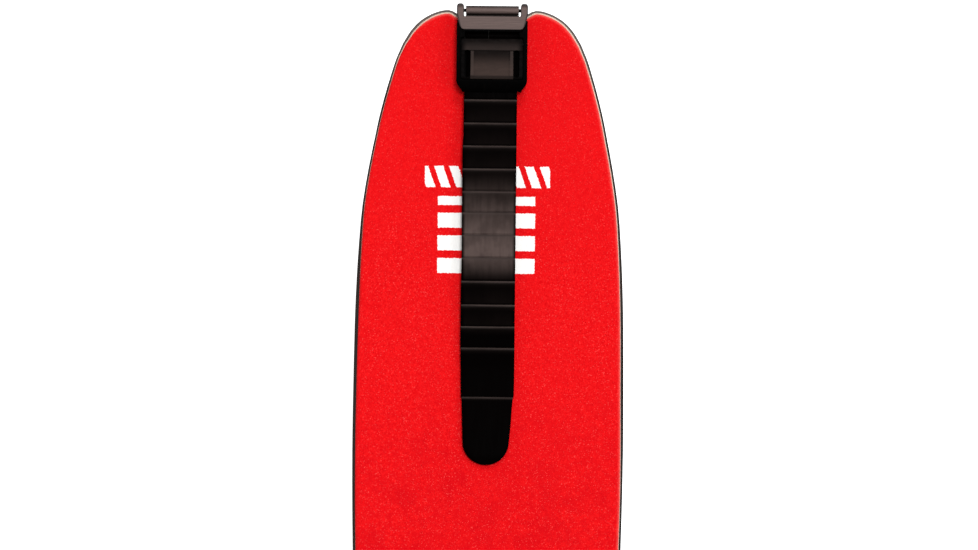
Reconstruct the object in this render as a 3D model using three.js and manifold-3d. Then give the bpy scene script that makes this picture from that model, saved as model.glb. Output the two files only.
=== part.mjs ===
// Climbing skin for an alpine-touring ski: one skin of a pair, lying flat with its glue side down.
// Units are millimetres. +Z is up (plush side), the tail points to +Y and the nose to -Y.
// STATION values are measured along Y from the tail shoulders, so the strip runs from 0 to -1640.
import * as THREE from 'three';
import { mergeVertices } from 'three/addons/utils/BufferGeometryUtils.js';
import Module from 'manifold-3d';

const wasm = await Module();
wasm.setup();

// ---------------------------------------------------------------- driving dimensions
const ORIGIN_INSET = 8;            // the part's origin lies on the glue face, this far in from the tail shoulders
const FOLD_Y = -872;               // storage fold, where the skin is folded glue side to glue side
const FOLD_GAP = 1.0;              // open joint between the two halves at the fold
const GLUE = [0.0, 0.7];           // z of the adhesive layer
const BACKING = [0.8, 1.4];        // z of the woven backing
const PLUSH = [1.5, 3.1];          // z of the plush pile
const GLUE_PROUD = 1.0;            // the adhesive edge stands this far outside the backing
const BACKING_PROUD = 0.5;         // the backing edge stands this far outside the plush
const NOSE_Y = -1640;              // end of the fabric at the nose

// half width of the strip against the distance from the tail shoulders
const SIDECUT = [
  [0.3, 22.5], [0.7, 23.9], [2.0, 27.5], [3.4, 29.9], [4.7, 32.0], [6.1, 33.5], [7.4, 34.9], [8.8, 35.9],
  [10.1, 37.1], [12.8, 38.6], [15.5, 40.3], [18.2, 41.3], [22.3, 43.1], [31.3, 45.9], [40.3, 48.4],
  [49.3, 50.6], [58.3, 52.4], [67.3, 54.2], [76.3, 55.8], [85.3, 57.2], [94.3, 58.2], [112.3, 59.4],
  [130.3, 60.2], [148.3, 60.6], [175.0, 60.9], [198.0, 61.0], [220.0, 60.8], [240.0, 60.4], [290.0, 59.2],
  [360.0, 57.2], [440.0, 54.8], [520.0, 52.7], [600.0, 51.1], [680.0, 50.2], [760.0, 50.0], [840.0, 50.5],
  [920.0, 51.6], [1000.0, 53.2], [1080.0, 55.3], [1160.0, 57.8], [1240.0, 60.5], [1320.0, 63.2],
  [1390.0, 65.2], [1440.0, 66.0], [1480.0, 65.4], [1515.0, 62.4], [1545.0, 57.4], [1575.0, 49.6],
  [1600.0, 40.6], [1620.0, 31.8], [1634.0, 26.0], [1640.0, 24.0],
];
// the shallow notch between the tail shoulders, as [half width, distance]
const NOTCH = [[19.5, 0.0], [18.0, 0.4], [16.2, 1.5], [14.6, 2.6], [12.6, 3.4], [9.0, 3.9], [4.0, 4.2]];

// tail buckle
const BUCKLE_HALF = 15.9;          // half width of the moulded body
const BUCKLE_Y = [-37.0, -3.7];    // mouth and nose of the body
const BUCKLE_Z = [3.4, 13.6];      // underside (just clear of the plush) and top
const MOUTH_HALF = 13.0;           // half width of the body at the mouth
const CHANNEL_HALF = 12.5;         // half width of the strap channel
const CEILING_Z = 10.9;            // ceiling of the strap channel
const BAR = { y: -12.5, z: 6.4, r: 1.2 };            // bar that the strap turns round
const LEVER_PIN = { y: -15.75, z: 12.15, r: 0.75 };  // pivot of the release lever
const HOOK_PIN = { y: -0.5, z: 8.4, r: 0.8 };        // pivot of the tail hook
const CLEVIS_X = [13.0, 16.0];     // each arm of the clevis, inside to outside
const EAR_INSIDE = 12.75;          // its ears are a little thicker, inwards
const CLEVIS_EAR_R = 3.2;          // round end of each ear, about the hook's pin
const CLEVIS_PLATE_Z = [9.7, 11.55];
const CLEVIS_END_Y = -9.1;
const CLEVIS_SIDE = [[16.0, -1.8], [15.55, -4.2], [15.05, -6.0], [14.5, -7.6], [13.6, -8.7]];   // its sides, drawing in to the rear
const CLEVIS_PIN = { y: -6.4, z: 6.8, r: 0.8 };      // rivet that holds the clevis on the body's nose
const NOSE_HALF = 12.8;            // half width of the body's nose, between the clevis's arms

// tail hook
const KNUCKLE_HALF = 11.9;         // half width of the hook and its rolled knuckle
const KNUCKLE_R = 2.15;            // outer radius of the knuckle
const LIP_Z = [-12.0, -10.4];      // the lip that goes under the ski's tail
const WEB = [0.05, 1.65];           // the wall that goes down past the ski's tail, back to front
const LIP_END_Y = -7.4;

// ladder strap
const STRAP_HALF = 11.9;
const STRAP_X = -0.4;              // the strap lies a little to one side in its channel
const STRAP_T = 1.7;               // strap without its steps
const STEP_H = 0.9;                // height of each step
const STRAP_RUN_Z = 7.8;           // underside of the free run where it leaves the buckle
const STRAP_START_Y = -33.0;       // where the free run begins, under the body's top
const STRAP_END_Y = -204.8;        // end of the pull tab
const STEPS = [-40.7, -51.1, -61.4, -71.7, -81.9, -91.5, -101.6, -111.8, -122.2, -132.8, -142.6, -152.2];
const TAB_Y = -174.4;              // the thicker plain tab starts here
const RETURN_Z = [3.3, 5.0];       // return run, lying on the plush
const ANCHOR_Y = -58.0;            // rivets that hold the return run's end
const ANCHOR_X = 6.0;
const RETURN_END_Y = -66.0;

// tip fitting
const TIP_EYE = { y: -1646.0, z: 1.95, r: 2.0, t: 0.7 };
const TIP_PLATE_Y = -1604.0;
const TIP_HALF = [14.0, 22.0];     // half width at the inner end and at the eye
const BAIL_R = 1.75;               // wire radius
const TIP_RIVETS = [[-9.5, -1627.0], [9.5, -1627.0]];

// ---------------------------------------------------------------- colours
const MATERIALS = {
  plush: new THREE.MeshStandardMaterial({ color: 0xe0141c, roughness: 0.95, metalness: 0.0 }),
  backing: new THREE.MeshStandardMaterial({ color: 0xeadfc8, roughness: 0.9, metalness: 0.0 }),
  glue: new THREE.MeshStandardMaterial({ color: 0x17120f, roughness: 0.6, metalness: 0.0 }),
  moulded: new THREE.MeshStandardMaterial({ color: 0x141312, roughness: 0.5, metalness: 0.0 }),
  lever: new THREE.MeshStandardMaterial({ color: 0x3a3432, roughness: 0.5, metalness: 0.0 }),
  rubber: new THREE.MeshStandardMaterial({ color: 0x191817, roughness: 0.7, metalness: 0.0 }),
  plate: new THREE.MeshStandardMaterial({ color: 0x6e6460, roughness: 0.45, metalness: 0.6 }),
  steel: new THREE.MeshStandardMaterial({ color: 0xb4b2ae, roughness: 0.3, metalness: 1.0 }),
  darkSteel: new THREE.MeshStandardMaterial({ color: 0x3c3836, roughness: 0.4, metalness: 1.0 }),
};

// ---------------------------------------------------------------- helpers
function toSolid(geometry) {
  const g = geometry.clone();
  for (const name of Object.keys(g.attributes)) if (name !== 'position') g.deleteAttribute(name);
  const m = mergeVertices(g, 1e-4);
  return new wasm.Manifold(new wasm.Mesh({
    numProp: 3,
    vertProperties: new Float32Array(m.attributes.position.array),
    triVerts: new Uint32Array(m.index.array),
  }));
}
function toGeometry(manifold) {
  const m = manifold.getMesh();
  const g = new THREE.BufferGeometry();
  g.setAttribute('position', new THREE.BufferAttribute(new Float32Array(m.vertProperties), 3));
  g.setIndex(new THREE.BufferAttribute(new Uint32Array(m.triVerts), 1));
  g.computeVertexNormals();
  return g;
}
const shapeOf = (points) => new THREE.Shape(points.map(([a, b]) => new THREE.Vector2(a, b)));

// a plan outline (x, y) raised from z0 to z1
function prism(points, z0, z1) {
  const g = new THREE.ExtrudeGeometry(shapeOf(points), { depth: z1 - z0, bevelEnabled: false, steps: 1 });
  g.translate(0, 0, z0);
  return toSolid(g);
}
// a side profile (y, z) run from x0 to x1
function slab(points, x0, x1) {
  const g = new THREE.ExtrudeGeometry(shapeOf(points), { depth: x1 - x0, bevelEnabled: false, steps: 1 });
  g.applyMatrix4(new THREE.Matrix4().makeBasis(
    new THREE.Vector3(0, 1, 0), new THREE.Vector3(0, 0, 1), new THREE.Vector3(1, 0, 0)));
  g.translate(x0, 0, 0);
  return toSolid(g);
}
function block(x0, x1, y0, y1, z0, z1) {
  const g = new THREE.BoxGeometry(x1 - x0, y1 - y0, z1 - z0);
  g.translate((x0 + x1) / 2, (y0 + y1) / 2, (z0 + z1) / 2);
  return toSolid(g);
}
// a rod along X
function rod(y, z, r, x0, x1, sides = 24) {
  const g = new THREE.CylinderGeometry(r, r, x1 - x0, sides);
  g.rotateZ(-Math.PI / 2);
  g.translate((x0 + x1) / 2, y, z);
  return toSolid(g);
}
// a turned piece about a vertical axis, profile [r, z] from the axis back to the axis
function turned(profile, x, y, sides = 20) {
  const g = new THREE.LatheGeometry(profile.map(([r, z]) => new THREE.Vector2(r, z)), sides);
  g.rotateX(Math.PI / 2);
  g.translate(x, y, 0);
  return toSolid(g);
}
// a round wire along a path
function wire(points, r, sides, steps, tension = 0.5) {
  const curve = new THREE.CatmullRomCurve3(points.map((p) => new THREE.Vector3(...p)), false, 'catmullrom', tension);
  const ring = [];
  for (let i = 0; i < sides; i++) {
    const a = (2 * Math.PI * i) / sides;
    ring.push([r * Math.cos(a), r * Math.sin(a)]);
  }
  return toSolid(new THREE.ExtrudeGeometry(shapeOf(ring), { extrudePath: curve, steps, bevelEnabled: false }));
}
const arc = (cy, cz, r, a0, a1, n) => {
  const out = [];
  for (let i = 0; i <= n; i++) {
    const a = ((a0 + ((a1 - a0) * i) / n) * Math.PI) / 180;
    out.push([cy + r * Math.cos(a), cz + r * Math.sin(a)]);
  }
  return out;
};

const part = new THREE.Group();
part.position.y = ORIGIN_INSET;
function add(name, manifold, material) {
  const mesh = new THREE.Mesh(toGeometry(manifold), MATERIALS[material]);
  mesh.name = name;
  part.add(mesh);
}

// ---------------------------------------------------------------- the strip: glue, backing, plush
// outline of one layer, moved in by `inset`, between two stations (nearer the tail first)
function halfOutline(inset) {
  const raw = [[0, -4.25], ...[...NOTCH].reverse().map(([w, d]) => [w, -d]), ...SIDECUT.map(([d, w]) => [w, -d])];
  const out = raw.map((p, i) => {
    const a = raw[Math.max(0, i - 1)], b = raw[Math.min(raw.length - 1, i + 1)];
    let tx = b[0] - a[0], ty = b[1] - a[1];
    const l = Math.hypot(tx, ty);
    tx /= l; ty /= l;
    return [p[0] + ty * inset, p[1] - tx * inset];
  });
  out[0] = [0, raw[0][1] - inset];
  return out;
}
function layerOutline(inset, yTail, yNose) {
  const half = halfOutline(inset).filter(([x], i) => i === 0 || x > 0.01);
  const right = [];
  for (let i = 0; i < half.length; i++) {
    const p = half[i], q = half[i - 1];
    if (q && (p[1] - yTail) * (q[1] - yTail) < 0) {
      const t = (yTail - q[1]) / (p[1] - q[1]);
      if (q[1] > yTail) right.length = 0;
      right.push([q[0] + t * (p[0] - q[0]), yTail]);
    }
    if (q && (p[1] - yNose) * (q[1] - yNose) < 0) {
      const t = (yNose - q[1]) / (p[1] - q[1]);
      right.push([q[0] + t * (p[0] - q[0]), yNose]);
    }
    if (p[1] <= yTail && p[1] >= yNose) right.push(p);
  }
  const left = right.filter(([x]) => x > 0.01).map(([x, y]) => [-x, y]).reverse();
  return [...right, ...left];
}
const circlePrism = (x, y, r, z0, z1, n = 20) => {
  const pts = [];
  for (let i = 0; i < n; i++) pts.push([x + r * Math.cos((2 * Math.PI * i) / n), y + r * Math.sin((2 * Math.PI * i) / n)]);
  return prism(pts, z0, z1);
};
const anchorHoles = (solid, r) => {
  for (const s of [-1, 1]) solid = solid.subtract(circlePrism(s * ANCHOR_X, ANCHOR_Y, r, -1, 8));
  return solid;
};
const tipHoles = (solid, r) => {
  for (const [x, y] of TIP_RIVETS) solid = solid.subtract(circlePrism(x, y, r, -1, 8));
  return solid;
};
const roundedRect = (x0, x1, y0, y1, r, n = 5) => {
  const out = [];
  for (const [cx, cy, a] of [[x1 - r, y1 - r, 0], [x0 + r, y1 - r, 90], [x0 + r, y0 + r, 180], [x1 - r, y0 + r, 270]]) {
    for (let i = 0; i <= n; i++) {
      const t = ((a + (90 * i) / n) * Math.PI) / 180;
      out.push([cx + r * Math.cos(t), cy + r * Math.sin(t)]);
    }
  }
  return out;
};
const tailEnd = FOLD_Y + FOLD_GAP / 2, tipStart = FOLD_Y - FOLD_GAP / 2;
const ANCHOR_PLATE = roundedRect(-14, 14, ANCHOR_Y - 7, ANCHOR_Y + 7, 2.5);
const grow = (pts, cx, cy, d) => pts.map(([x, y]) => {
  return [x + Math.sign(x - cx) * d, y + Math.sign(y - cy) * d];
});
const TIP_LEAF = [
  [-TIP_HALF[0] + 3, TIP_PLATE_Y], [-TIP_HALF[0], TIP_PLATE_Y - 3], [-TIP_HALF[1], -1638], [-TIP_HALF[1], -1652],
  [TIP_HALF[1], -1652], [TIP_HALF[1], -1638], [TIP_HALF[0], TIP_PLATE_Y - 3], [TIP_HALF[0] - 3, TIP_PLATE_Y],
];

add('glue_layer_tail',
  prism(layerOutline(0, 5, tailEnd), ...GLUE).subtract(prism(grow(ANCHOR_PLATE, 0, ANCHOR_Y, 0.3), -1, 2)), 'glue');
add('backing_tail', anchorHoles(prism(layerOutline(GLUE_PROUD, 5, tailEnd), ...BACKING), 1.75), 'backing');
add('plush_tail', anchorHoles(prism(layerOutline(GLUE_PROUD + BACKING_PROUD, 5, tailEnd), ...PLUSH), 1.75), 'plush');

add('glue_layer_tip',
  prism(layerOutline(0, tipStart, -1632), ...GLUE).subtract(prism(grow(TIP_LEAF, 0, -1628, 0.4), -1, 2)), 'glue');
add('backing_tip', tipHoles(prism(layerOutline(GLUE_PROUD, tipStart, NOSE_Y + 0.5), ...BACKING), 1.65), 'backing');
add('plush_tip', tipHoles(prism(layerOutline(GLUE_PROUD + BACKING_PROUD, tipStart, NOSE_Y + 0.5), ...PLUSH), 1.65), 'plush');

// ---------------------------------------------------------------- anchor of the strap
const countersunk = (zTop, headR, headH, shank, sinkR, zBottom) => [
  [0, zBottom], [sinkR, zBottom], [shank, zBottom + 0.55], [shank, zTop], [headR, zTop], [headR, zTop + headH * 0.35],
  [headR * 0.72, zTop + headH * 0.85], [headR * 0.3, zTop + headH], [0, zTop + headH],
];
let anchorPlate = prism(ANCHOR_PLATE, 0.08, 0.68);
for (const s of [-1, 1]) {
  anchorPlate = anchorPlate.subtract(turned([[0, 0], [2.85, 0], [2.75, 0.08], [1.75, 0.72], [1.75, 1.2], [0, 1.2]], s * ANCHOR_X, ANCHOR_Y));
}
add('anchor_plate', anchorPlate, 'steel');
for (const [side, s] of [['left', -1], ['right', 1]]) {
  add(`anchor_rivet_${side}`,
    turned(countersunk(RETURN_Z[1] + 0.08, 3.6, 1.0, 1.6, 2.5, 0.08), s * ANCHOR_X, ANCHOR_Y), 'steel');
}

// ---------------------------------------------------------------- ladder strap
// underside of the free run: level out of the buckle, then easing down onto the plush at the tab
const LEVEL_TO = -96, LAND_Z = 3.5;
function undersideZ(y) {
  if (y >= LEVEL_TO) return STRAP_RUN_Z;
  const t = (LEVEL_TO - y) / (LEVEL_TO - STRAP_END_Y);
  return STRAP_RUN_Z + (LAND_Z - STRAP_RUN_Z) * t * t * (3 - 2 * t);
}
function strapTop(y) {                 // height of the top face over the underside
  if (y <= TAB_Y) return STRAP_T + 0.55;
  for (let i = STEPS.length - 1; i >= 0; i--) {
    if (y <= STEPS[i]) {
      const next = i + 1 < STEPS.length ? STEPS[i + 1] : STEPS[i] - 10.2;
      const t = Math.min(1, (STEPS[i] - y) / (STEPS[i] - next));
      return STRAP_T + STEP_H * (1 - t);
    }
  }
  return STRAP_T + 0.05;
}
const strapProfile = [];
for (let i = 0; i <= 36; i++) {
  const y = STRAP_START_Y + ((STRAP_END_Y - STRAP_START_Y) * i) / 36;
  strapProfile.push([y, undersideZ(y)]);
}
const topPoints = [[STRAP_START_Y, STRAP_T + 0.05]];
for (const s of STEPS) {
  const last = s === STEPS[STEPS.length - 1];
  topPoints.push([s, STRAP_T + 0.04], [s - 0.06, STRAP_T + 0.5], [s - 0.85, STRAP_T + STEP_H]);
  if (last) topPoints.push([s - 10.2, STRAP_T + 0.02]);
}
topPoints.push([TAB_Y, STRAP_T + 0.02], [TAB_Y - 0.3, STRAP_T + 0.6], [-188, STRAP_T + 0.6], [-197, STRAP_T + 0.5], [STRAP_END_Y, STRAP_T + 0.2]);
for (const [y, h] of topPoints.reverse()) strapProfile.push([y, undersideZ(y) + h]);
const tabPlan = [[-STRAP_HALF, STRAP_START_Y + 1], [-STRAP_HALF, -185]];
{
  // the tab narrows a little, then ends in a round end
  const R = 10.4, cy = STRAP_END_Y + R, wEnd = R;
  tabPlan.push([-STRAP_HALF + 0.5, -190]);
  for (let i = 0; i <= 20; i++) {
    const a = Math.PI + (Math.PI * i) / 20;
    tabPlan.push([wEnd * Math.cos(a), cy + R * Math.sin(a)]);
  }
  tabPlan.push([STRAP_HALF - 0.9, -188], [STRAP_HALF, -178], [STRAP_HALF, STRAP_START_Y + 1]);
}
add('ladder_strap',
  slab(strapProfile, -STRAP_HALF - 2, STRAP_HALF + 2).intersect(prism(tabPlan, 0, 20)).translate([STRAP_X, 0, 0]), 'rubber');

// the strap's turn round the bar, and its return run down to the anchor
const rIn = STRAP_RUN_Z - BAR.z, rOut = rIn + STRAP_T;
const LOOP_END = STRAP_START_Y + 0.12, LOOP_HALF = 12.2;
add('strap_loop', slab([
  [LOOP_END, BAR.z + rIn], [BAR.y, BAR.z + rIn], ...arc(BAR.y, BAR.z, rIn, 84, -84, 10), [BAR.y, BAR.z - rIn],
  [LOOP_END, BAR.z - rIn], [LOOP_END, BAR.z - rOut], [BAR.y, BAR.z - rOut], ...arc(BAR.y, BAR.z, rOut, -84, 84, 14),
  [BAR.y, BAR.z + rOut], [LOOP_END, BAR.z + rOut],
], -LOOP_HALF, LOOP_HALF), 'rubber');
let returnRun = prism([
  [-STRAP_HALF, STRAP_START_Y], [-STRAP_HALF, RETURN_END_Y + 4], [-STRAP_HALF + 1.2, RETURN_END_Y + 1.2], [-STRAP_HALF + 4, RETURN_END_Y],
  [STRAP_HALF - 4, RETURN_END_Y], [STRAP_HALF - 1.2, RETURN_END_Y + 1.2], [STRAP_HALF, RETURN_END_Y + 4], [STRAP_HALF, STRAP_START_Y],
], ...RETURN_Z).translate([STRAP_X, 0, 0]);
add('strap_return', anchorHoles(returnRun, 1.75), 'rubber');

// ---------------------------------------------------------------- buckle body
const [mouthY, noseY] = BUCKLE_Y, [bz0, bz1] = BUCKLE_Z;
// side profile: a low nose, a level top and a mouth that slopes down
let body = slab([
  [noseY, bz0], [noseY, 11.2], [noseY - 1.2, 11.9], [-12.4, bz1], [-32.4, bz1], [-35.6, 12.9], [mouthY, 11.9], [mouthY, bz0],
], -BUCKLE_HALF, BUCKLE_HALF);
body = body.intersect(prism([
  [-BUCKLE_HALF, noseY + 1], [-BUCKLE_HALF, -32.4], [-15.4, -33.8], [-14.6, -35.0], [-13.6, -36.2], [-MOUTH_HALF, mouthY - 1],
  [MOUTH_HALF, mouthY - 1], [13.6, -36.2], [14.6, -35.0], [15.4, -33.8], [BUCKLE_HALF, -32.4], [BUCKLE_HALF, noseY + 1],
], 0, 20));
// strap channel, open below and at the mouth
body = body.subtract(block(-CHANNEL_HALF, CHANNEL_HALF, mouthY - 2, -9.2, 0, CEILING_Z));
// windows: the gap in front of the lever, and the lever's own window with round corners
body = body.subtract(block(-12.3, 12.3, -14.0, -9.95, CEILING_Z - 0.4, 20));
body = body.subtract(block(-13.6, 13.6, -10.4, -8.9, 10.56, 20));
body = body.subtract(prism(roundedRect(-14.1, 14.1, -31.75, -12.6, 0.8, 4), CEILING_Z - 0.4, 20));
// the rib that the spring leg rests on
body = body.add(block(-CHANNEL_HALF - 0.5, CHANNEL_HALF + 0.5, -9.95, -9.15, 9.72, 10.84));
// ledges down both sides of the channel, inside the strap's loop, that carry its free run
for (const s of [-1, 1]) {
  body = body.add(block(Math.min(s * 10.9, s * 12.8), Math.max(s * 10.9, s * 12.8), -36.8, -16, 5.4, 7.4));
}
// nose: narrower, so that the clevis's arms go beside it and its plate over it
// and thin cheeks stand outside the arms where these draw in
const CHEEK_Y = -5.4;
const roomFor = [[20, noseY + 1], [20, CHEEK_Y], [15.37, CHEEK_Y], [15.2, -6.05], [14.65, -7.7], [13.72, -8.83]];
body = body.subtract(prism([
  ...roomFor, [NOSE_HALF, CLEVIS_END_Y - 0.06], [-NOSE_HALF, CLEVIS_END_Y - 0.06], ...roomFor.slice().reverse().map(([a, b]) => [-a, b]),
], CLEVIS_PLATE_Z[0] - 0.1, 20));
const armRoom = [...roomFor, [NOSE_HALF, -9.2], [NOSE_HALF, noseY + 1]];
body = body.subtract(prism(armRoom, 4.45, 20)).subtract(prism(armRoom.slice().reverse().map(([a, b]) => [-a, b]), 4.45, 20));
body = body.subtract(block(-20, 20, CHEEK_Y + 0.6, noseY + 1, 0, 4.6));
body = body.subtract(rod(CLEVIS_PIN.y, CLEVIS_PIN.z, CLEVIS_PIN.r + 0.12, -15.1, 15.1, 20));
// bar and pin holes through the cheeks
body = body.subtract(rod(BAR.y, BAR.z, BAR.r + 0.12, -20, 20));
body = body.subtract(rod(LEVER_PIN.y, LEVER_PIN.z, LEVER_PIN.r + 0.12, -20, 20, 20));
add('buckle_body', body, 'moulded');
add('return_bar', rod(BAR.y, BAR.z, BAR.r, -15.8, 15.8), 'darkSteel');
add('lever_pin', rod(LEVER_PIN.y, LEVER_PIN.z, LEVER_PIN.r, -15.8, 15.8, 20), 'darkSteel');

// ---------------------------------------------------------------- clevis, its rivet and the hook's pin
{
  const { y, z } = HOOK_PIN, [z0, z1] = CLEVIS_PLATE_Z;
  const arm = [
    ...arc(y, z, CLEVIS_EAR_R, -100, 80, 18), [-2.6, z1], [CLEVIS_END_Y, z1], [CLEVIS_END_Y, 5.2], [CLEVIS_END_Y + 0.6, 4.6], [-3.4, 4.6],
  ];
  let clevis = slab(arm, -CLEVIS_X[1], -CLEVIS_X[0]).add(slab(arm, CLEVIS_X[0], CLEVIS_X[1]));
  const boss = [...arc(y, z, CLEVIS_EAR_R - 0.05, -90, 90, 18), [-2.7, z1], [-2.7, z - CLEVIS_EAR_R + 0.05]];
  clevis = clevis.add(slab(boss, -CLEVIS_X[0] - 0.4, -EAR_INSIDE)).add(slab(boss, EAR_INSIDE, CLEVIS_X[0] + 0.4));
  clevis = clevis.add(slab([[-2.85, z0], [-2.85, z1 - 0.5], [-3.3, z1], [CLEVIS_END_Y, z1], [CLEVIS_END_Y, z0]], -CLEVIS_X[0] - 0.5, CLEVIS_X[0] + 0.5));
  // plan: the sides draw in a little towards round rear corners
  // the ears end round, and a slot with a round end runs down beside the knuckle
  const side = [
    [11.95, 5], [11.95, -2.8], [12.02, -3.1], [12.2, -3.3], [12.42, -3.25], [12.64, -2.9], [12.75, -2.3],
    ...arc(14.375, 1.2, 1.625, 180, 0, 10), ...CLEVIS_SIDE, [12.6, CLEVIS_END_Y + 0.02], [12.6, CLEVIS_END_Y - 1],
  ];
  clevis = clevis.intersect(prism([...side.map(([a, b]) => [-a, b]), ...side.slice().reverse()], 0, 20));
  clevis = clevis.subtract(rod(y, z, HOOK_PIN.r + 0.12, -20, 20, 20));
  clevis = clevis.subtract(rod(CLEVIS_PIN.y, CLEVIS_PIN.z, CLEVIS_PIN.r + 0.12, -20, 20, 20));
  add('clevis', clevis, 'plate');
}
add('clevis_rivet', rod(CLEVIS_PIN.y, CLEVIS_PIN.z, CLEVIS_PIN.r, -14.85, 14.85, 20), 'darkSteel');
add('hook_pin', rod(HOOK_PIN.y, HOOK_PIN.z, HOOK_PIN.r, -15.7, 15.7, 20), 'darkSteel');

// ---------------------------------------------------------------- tail hook
{
  const { y, z } = HOOK_PIN, H = KNUCKLE_HALF;
  // sheet rolled round the pin, a wall down past the ski's tail and a lip that turns in under it
  let hook = slab([
    ...arc(y, z, KNUCKLE_R, 0, 270, 26), [WEB[0], z - KNUCKLE_R + 0.1], [WEB[0], LIP_Z[1] + 0.5], [WEB[0] - 0.5, LIP_Z[1]],
    [LIP_END_Y, LIP_Z[1]], [LIP_END_Y, LIP_Z[0] + 0.8], [LIP_END_Y + 0.8, LIP_Z[0]], [WEB[1] - 1.4, LIP_Z[0]], [WEB[1] - 0.4, LIP_Z[0] + 0.4], [WEB[1], LIP_Z[0] + 1.4],
  ], -H, H);
  hook = hook.subtract(rod(y, z, HOOK_PIN.r + 0.12, -20, 20, 20));
  hook = hook.intersect(prism([
    [-H, 5], [-H, LIP_END_Y + 3.2], [-H + 1.0, LIP_END_Y + 1.0], [-H + 3.2, LIP_END_Y - 0.01],
    [H - 3.2, LIP_END_Y - 0.01], [H - 1.0, LIP_END_Y + 1.0], [H, LIP_END_Y + 3.2], [H, 5],
  ], -20, 20));
  // window in the wall, to save weight
  const windowPlan = new THREE.ExtrudeGeometry(shapeOf(roundedRect(-6.5, 6.5, -6.4, 1.6, 2.5, 5)), { depth: 8, bevelEnabled: false });
  windowPlan.rotateX(Math.PI / 2);
  windowPlan.translate(0, 4, 0);
  hook = hook.subtract(toSolid(windowPlan));
  add('tail_hook', hook, 'plate');
  add('hook_pad', prism(roundedRect(-H + 1.2, H - 1.2, LIP_END_Y + 1.0, WEB[0] - 0.9, 1.5, 4), LIP_Z[1] + 0.06, LIP_Z[1] + 0.86), 'rubber');
}

// ---------------------------------------------------------------- release lever, its spring
{
  const { y, z } = LEVER_PIN;
  let lever = slab([
    [-13.4, 13.75], [-13.4, 12.85], [-14.25, 12.35], ...arc(y, z, 1.5, 0, -180, 14), [-17.4, 12.0], [-18.6, 12.0], [-18.6, 13.75],
  ], -13.8, 13.8);
  // plate with a slot down each side of the thumb pad
  lever = lever.add(slab([
    [-16.8, 12.0], [-16.8, 13.2], [-18.9, 13.2], [-30.2, 13.2], [-30.9, 13.5], [-31.4, 13.3], [-31.4, 12.5], [-30.9, 12.0], [-19, 12.0],
  ], -13.8, 13.8));
  for (const s of [-1, 1]) {
    lever = lever.subtract(prism(roundedRect(Math.min(s * 9.7, s * 12.3), Math.max(s * 9.7, s * 12.3), -30.7, -18.4, 1.2, 5), 9, 20));
    const x0 = s < 0 ? -9.5 : 7.9, x1 = s < 0 ? -7.9 : 9.5;
    lever = lever.add(slab([[-18.7, 12.6], [-19.0, 13.55], [-19.6, 13.7], [-29.9, 13.7], [-30.8, 13.3], [-30.8, 12.6]], x0, x1));
  }
  lever = lever.intersect(prism(roundedRect(-13.8, 13.8, -31.4, -13.4, 1.0, 4), 5, 20));
  lever = lever.add(slab([[-26.0, 12.2], [-29.95, 12.2], [-29.95, 10.5], [-28.8, 10.5]], -8, 8));
  // pocket for the spring coil, and the hole for its leg
  lever = lever.subtract(rod(y, z, 1.42, -2.7, 2.7, 20)).subtract(block(-2.7, 2.7, y - 1.42, y + 1.42, 8, z));
  lever = lever.subtract(rod(y, z, LEVER_PIN.r + 0.12, -20, 20, 20));
  const a = new THREE.Vector3(1.6, -16.4, 10.95), b = new THREE.Vector3(1.6, -21.6, 12.45);
  lever = lever.subtract(wire([[a.x, a.y, a.z], [1.6, -19, 11.75], [b.x, b.y, b.z]], 0.5, 8, 4));
  add('release_lever', lever, 'lever');

  const r = 1.06, pts = [[-1.6, -9.5, z - r], [-1.6, -12, z - r], [-1.6, -14.6, z - r]];
  const turns = 3, per = 8;
  for (let i = 0; i <= turns * per; i++) {
    const t = (2 * Math.PI * i) / per;
    pts.push([-1.6 + (3.2 * i) / (turns * per), y - r * Math.sin(t), z - r * Math.cos(t)]);
  }
  pts.push([1.6, -17.2, z - r + 0.12], [1.6, -19, 11.75], [1.6, -21.2, 12.35]);
  add('lever_spring', wire(pts, 0.2, 6, 70), 'darkSteel');
}

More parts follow.
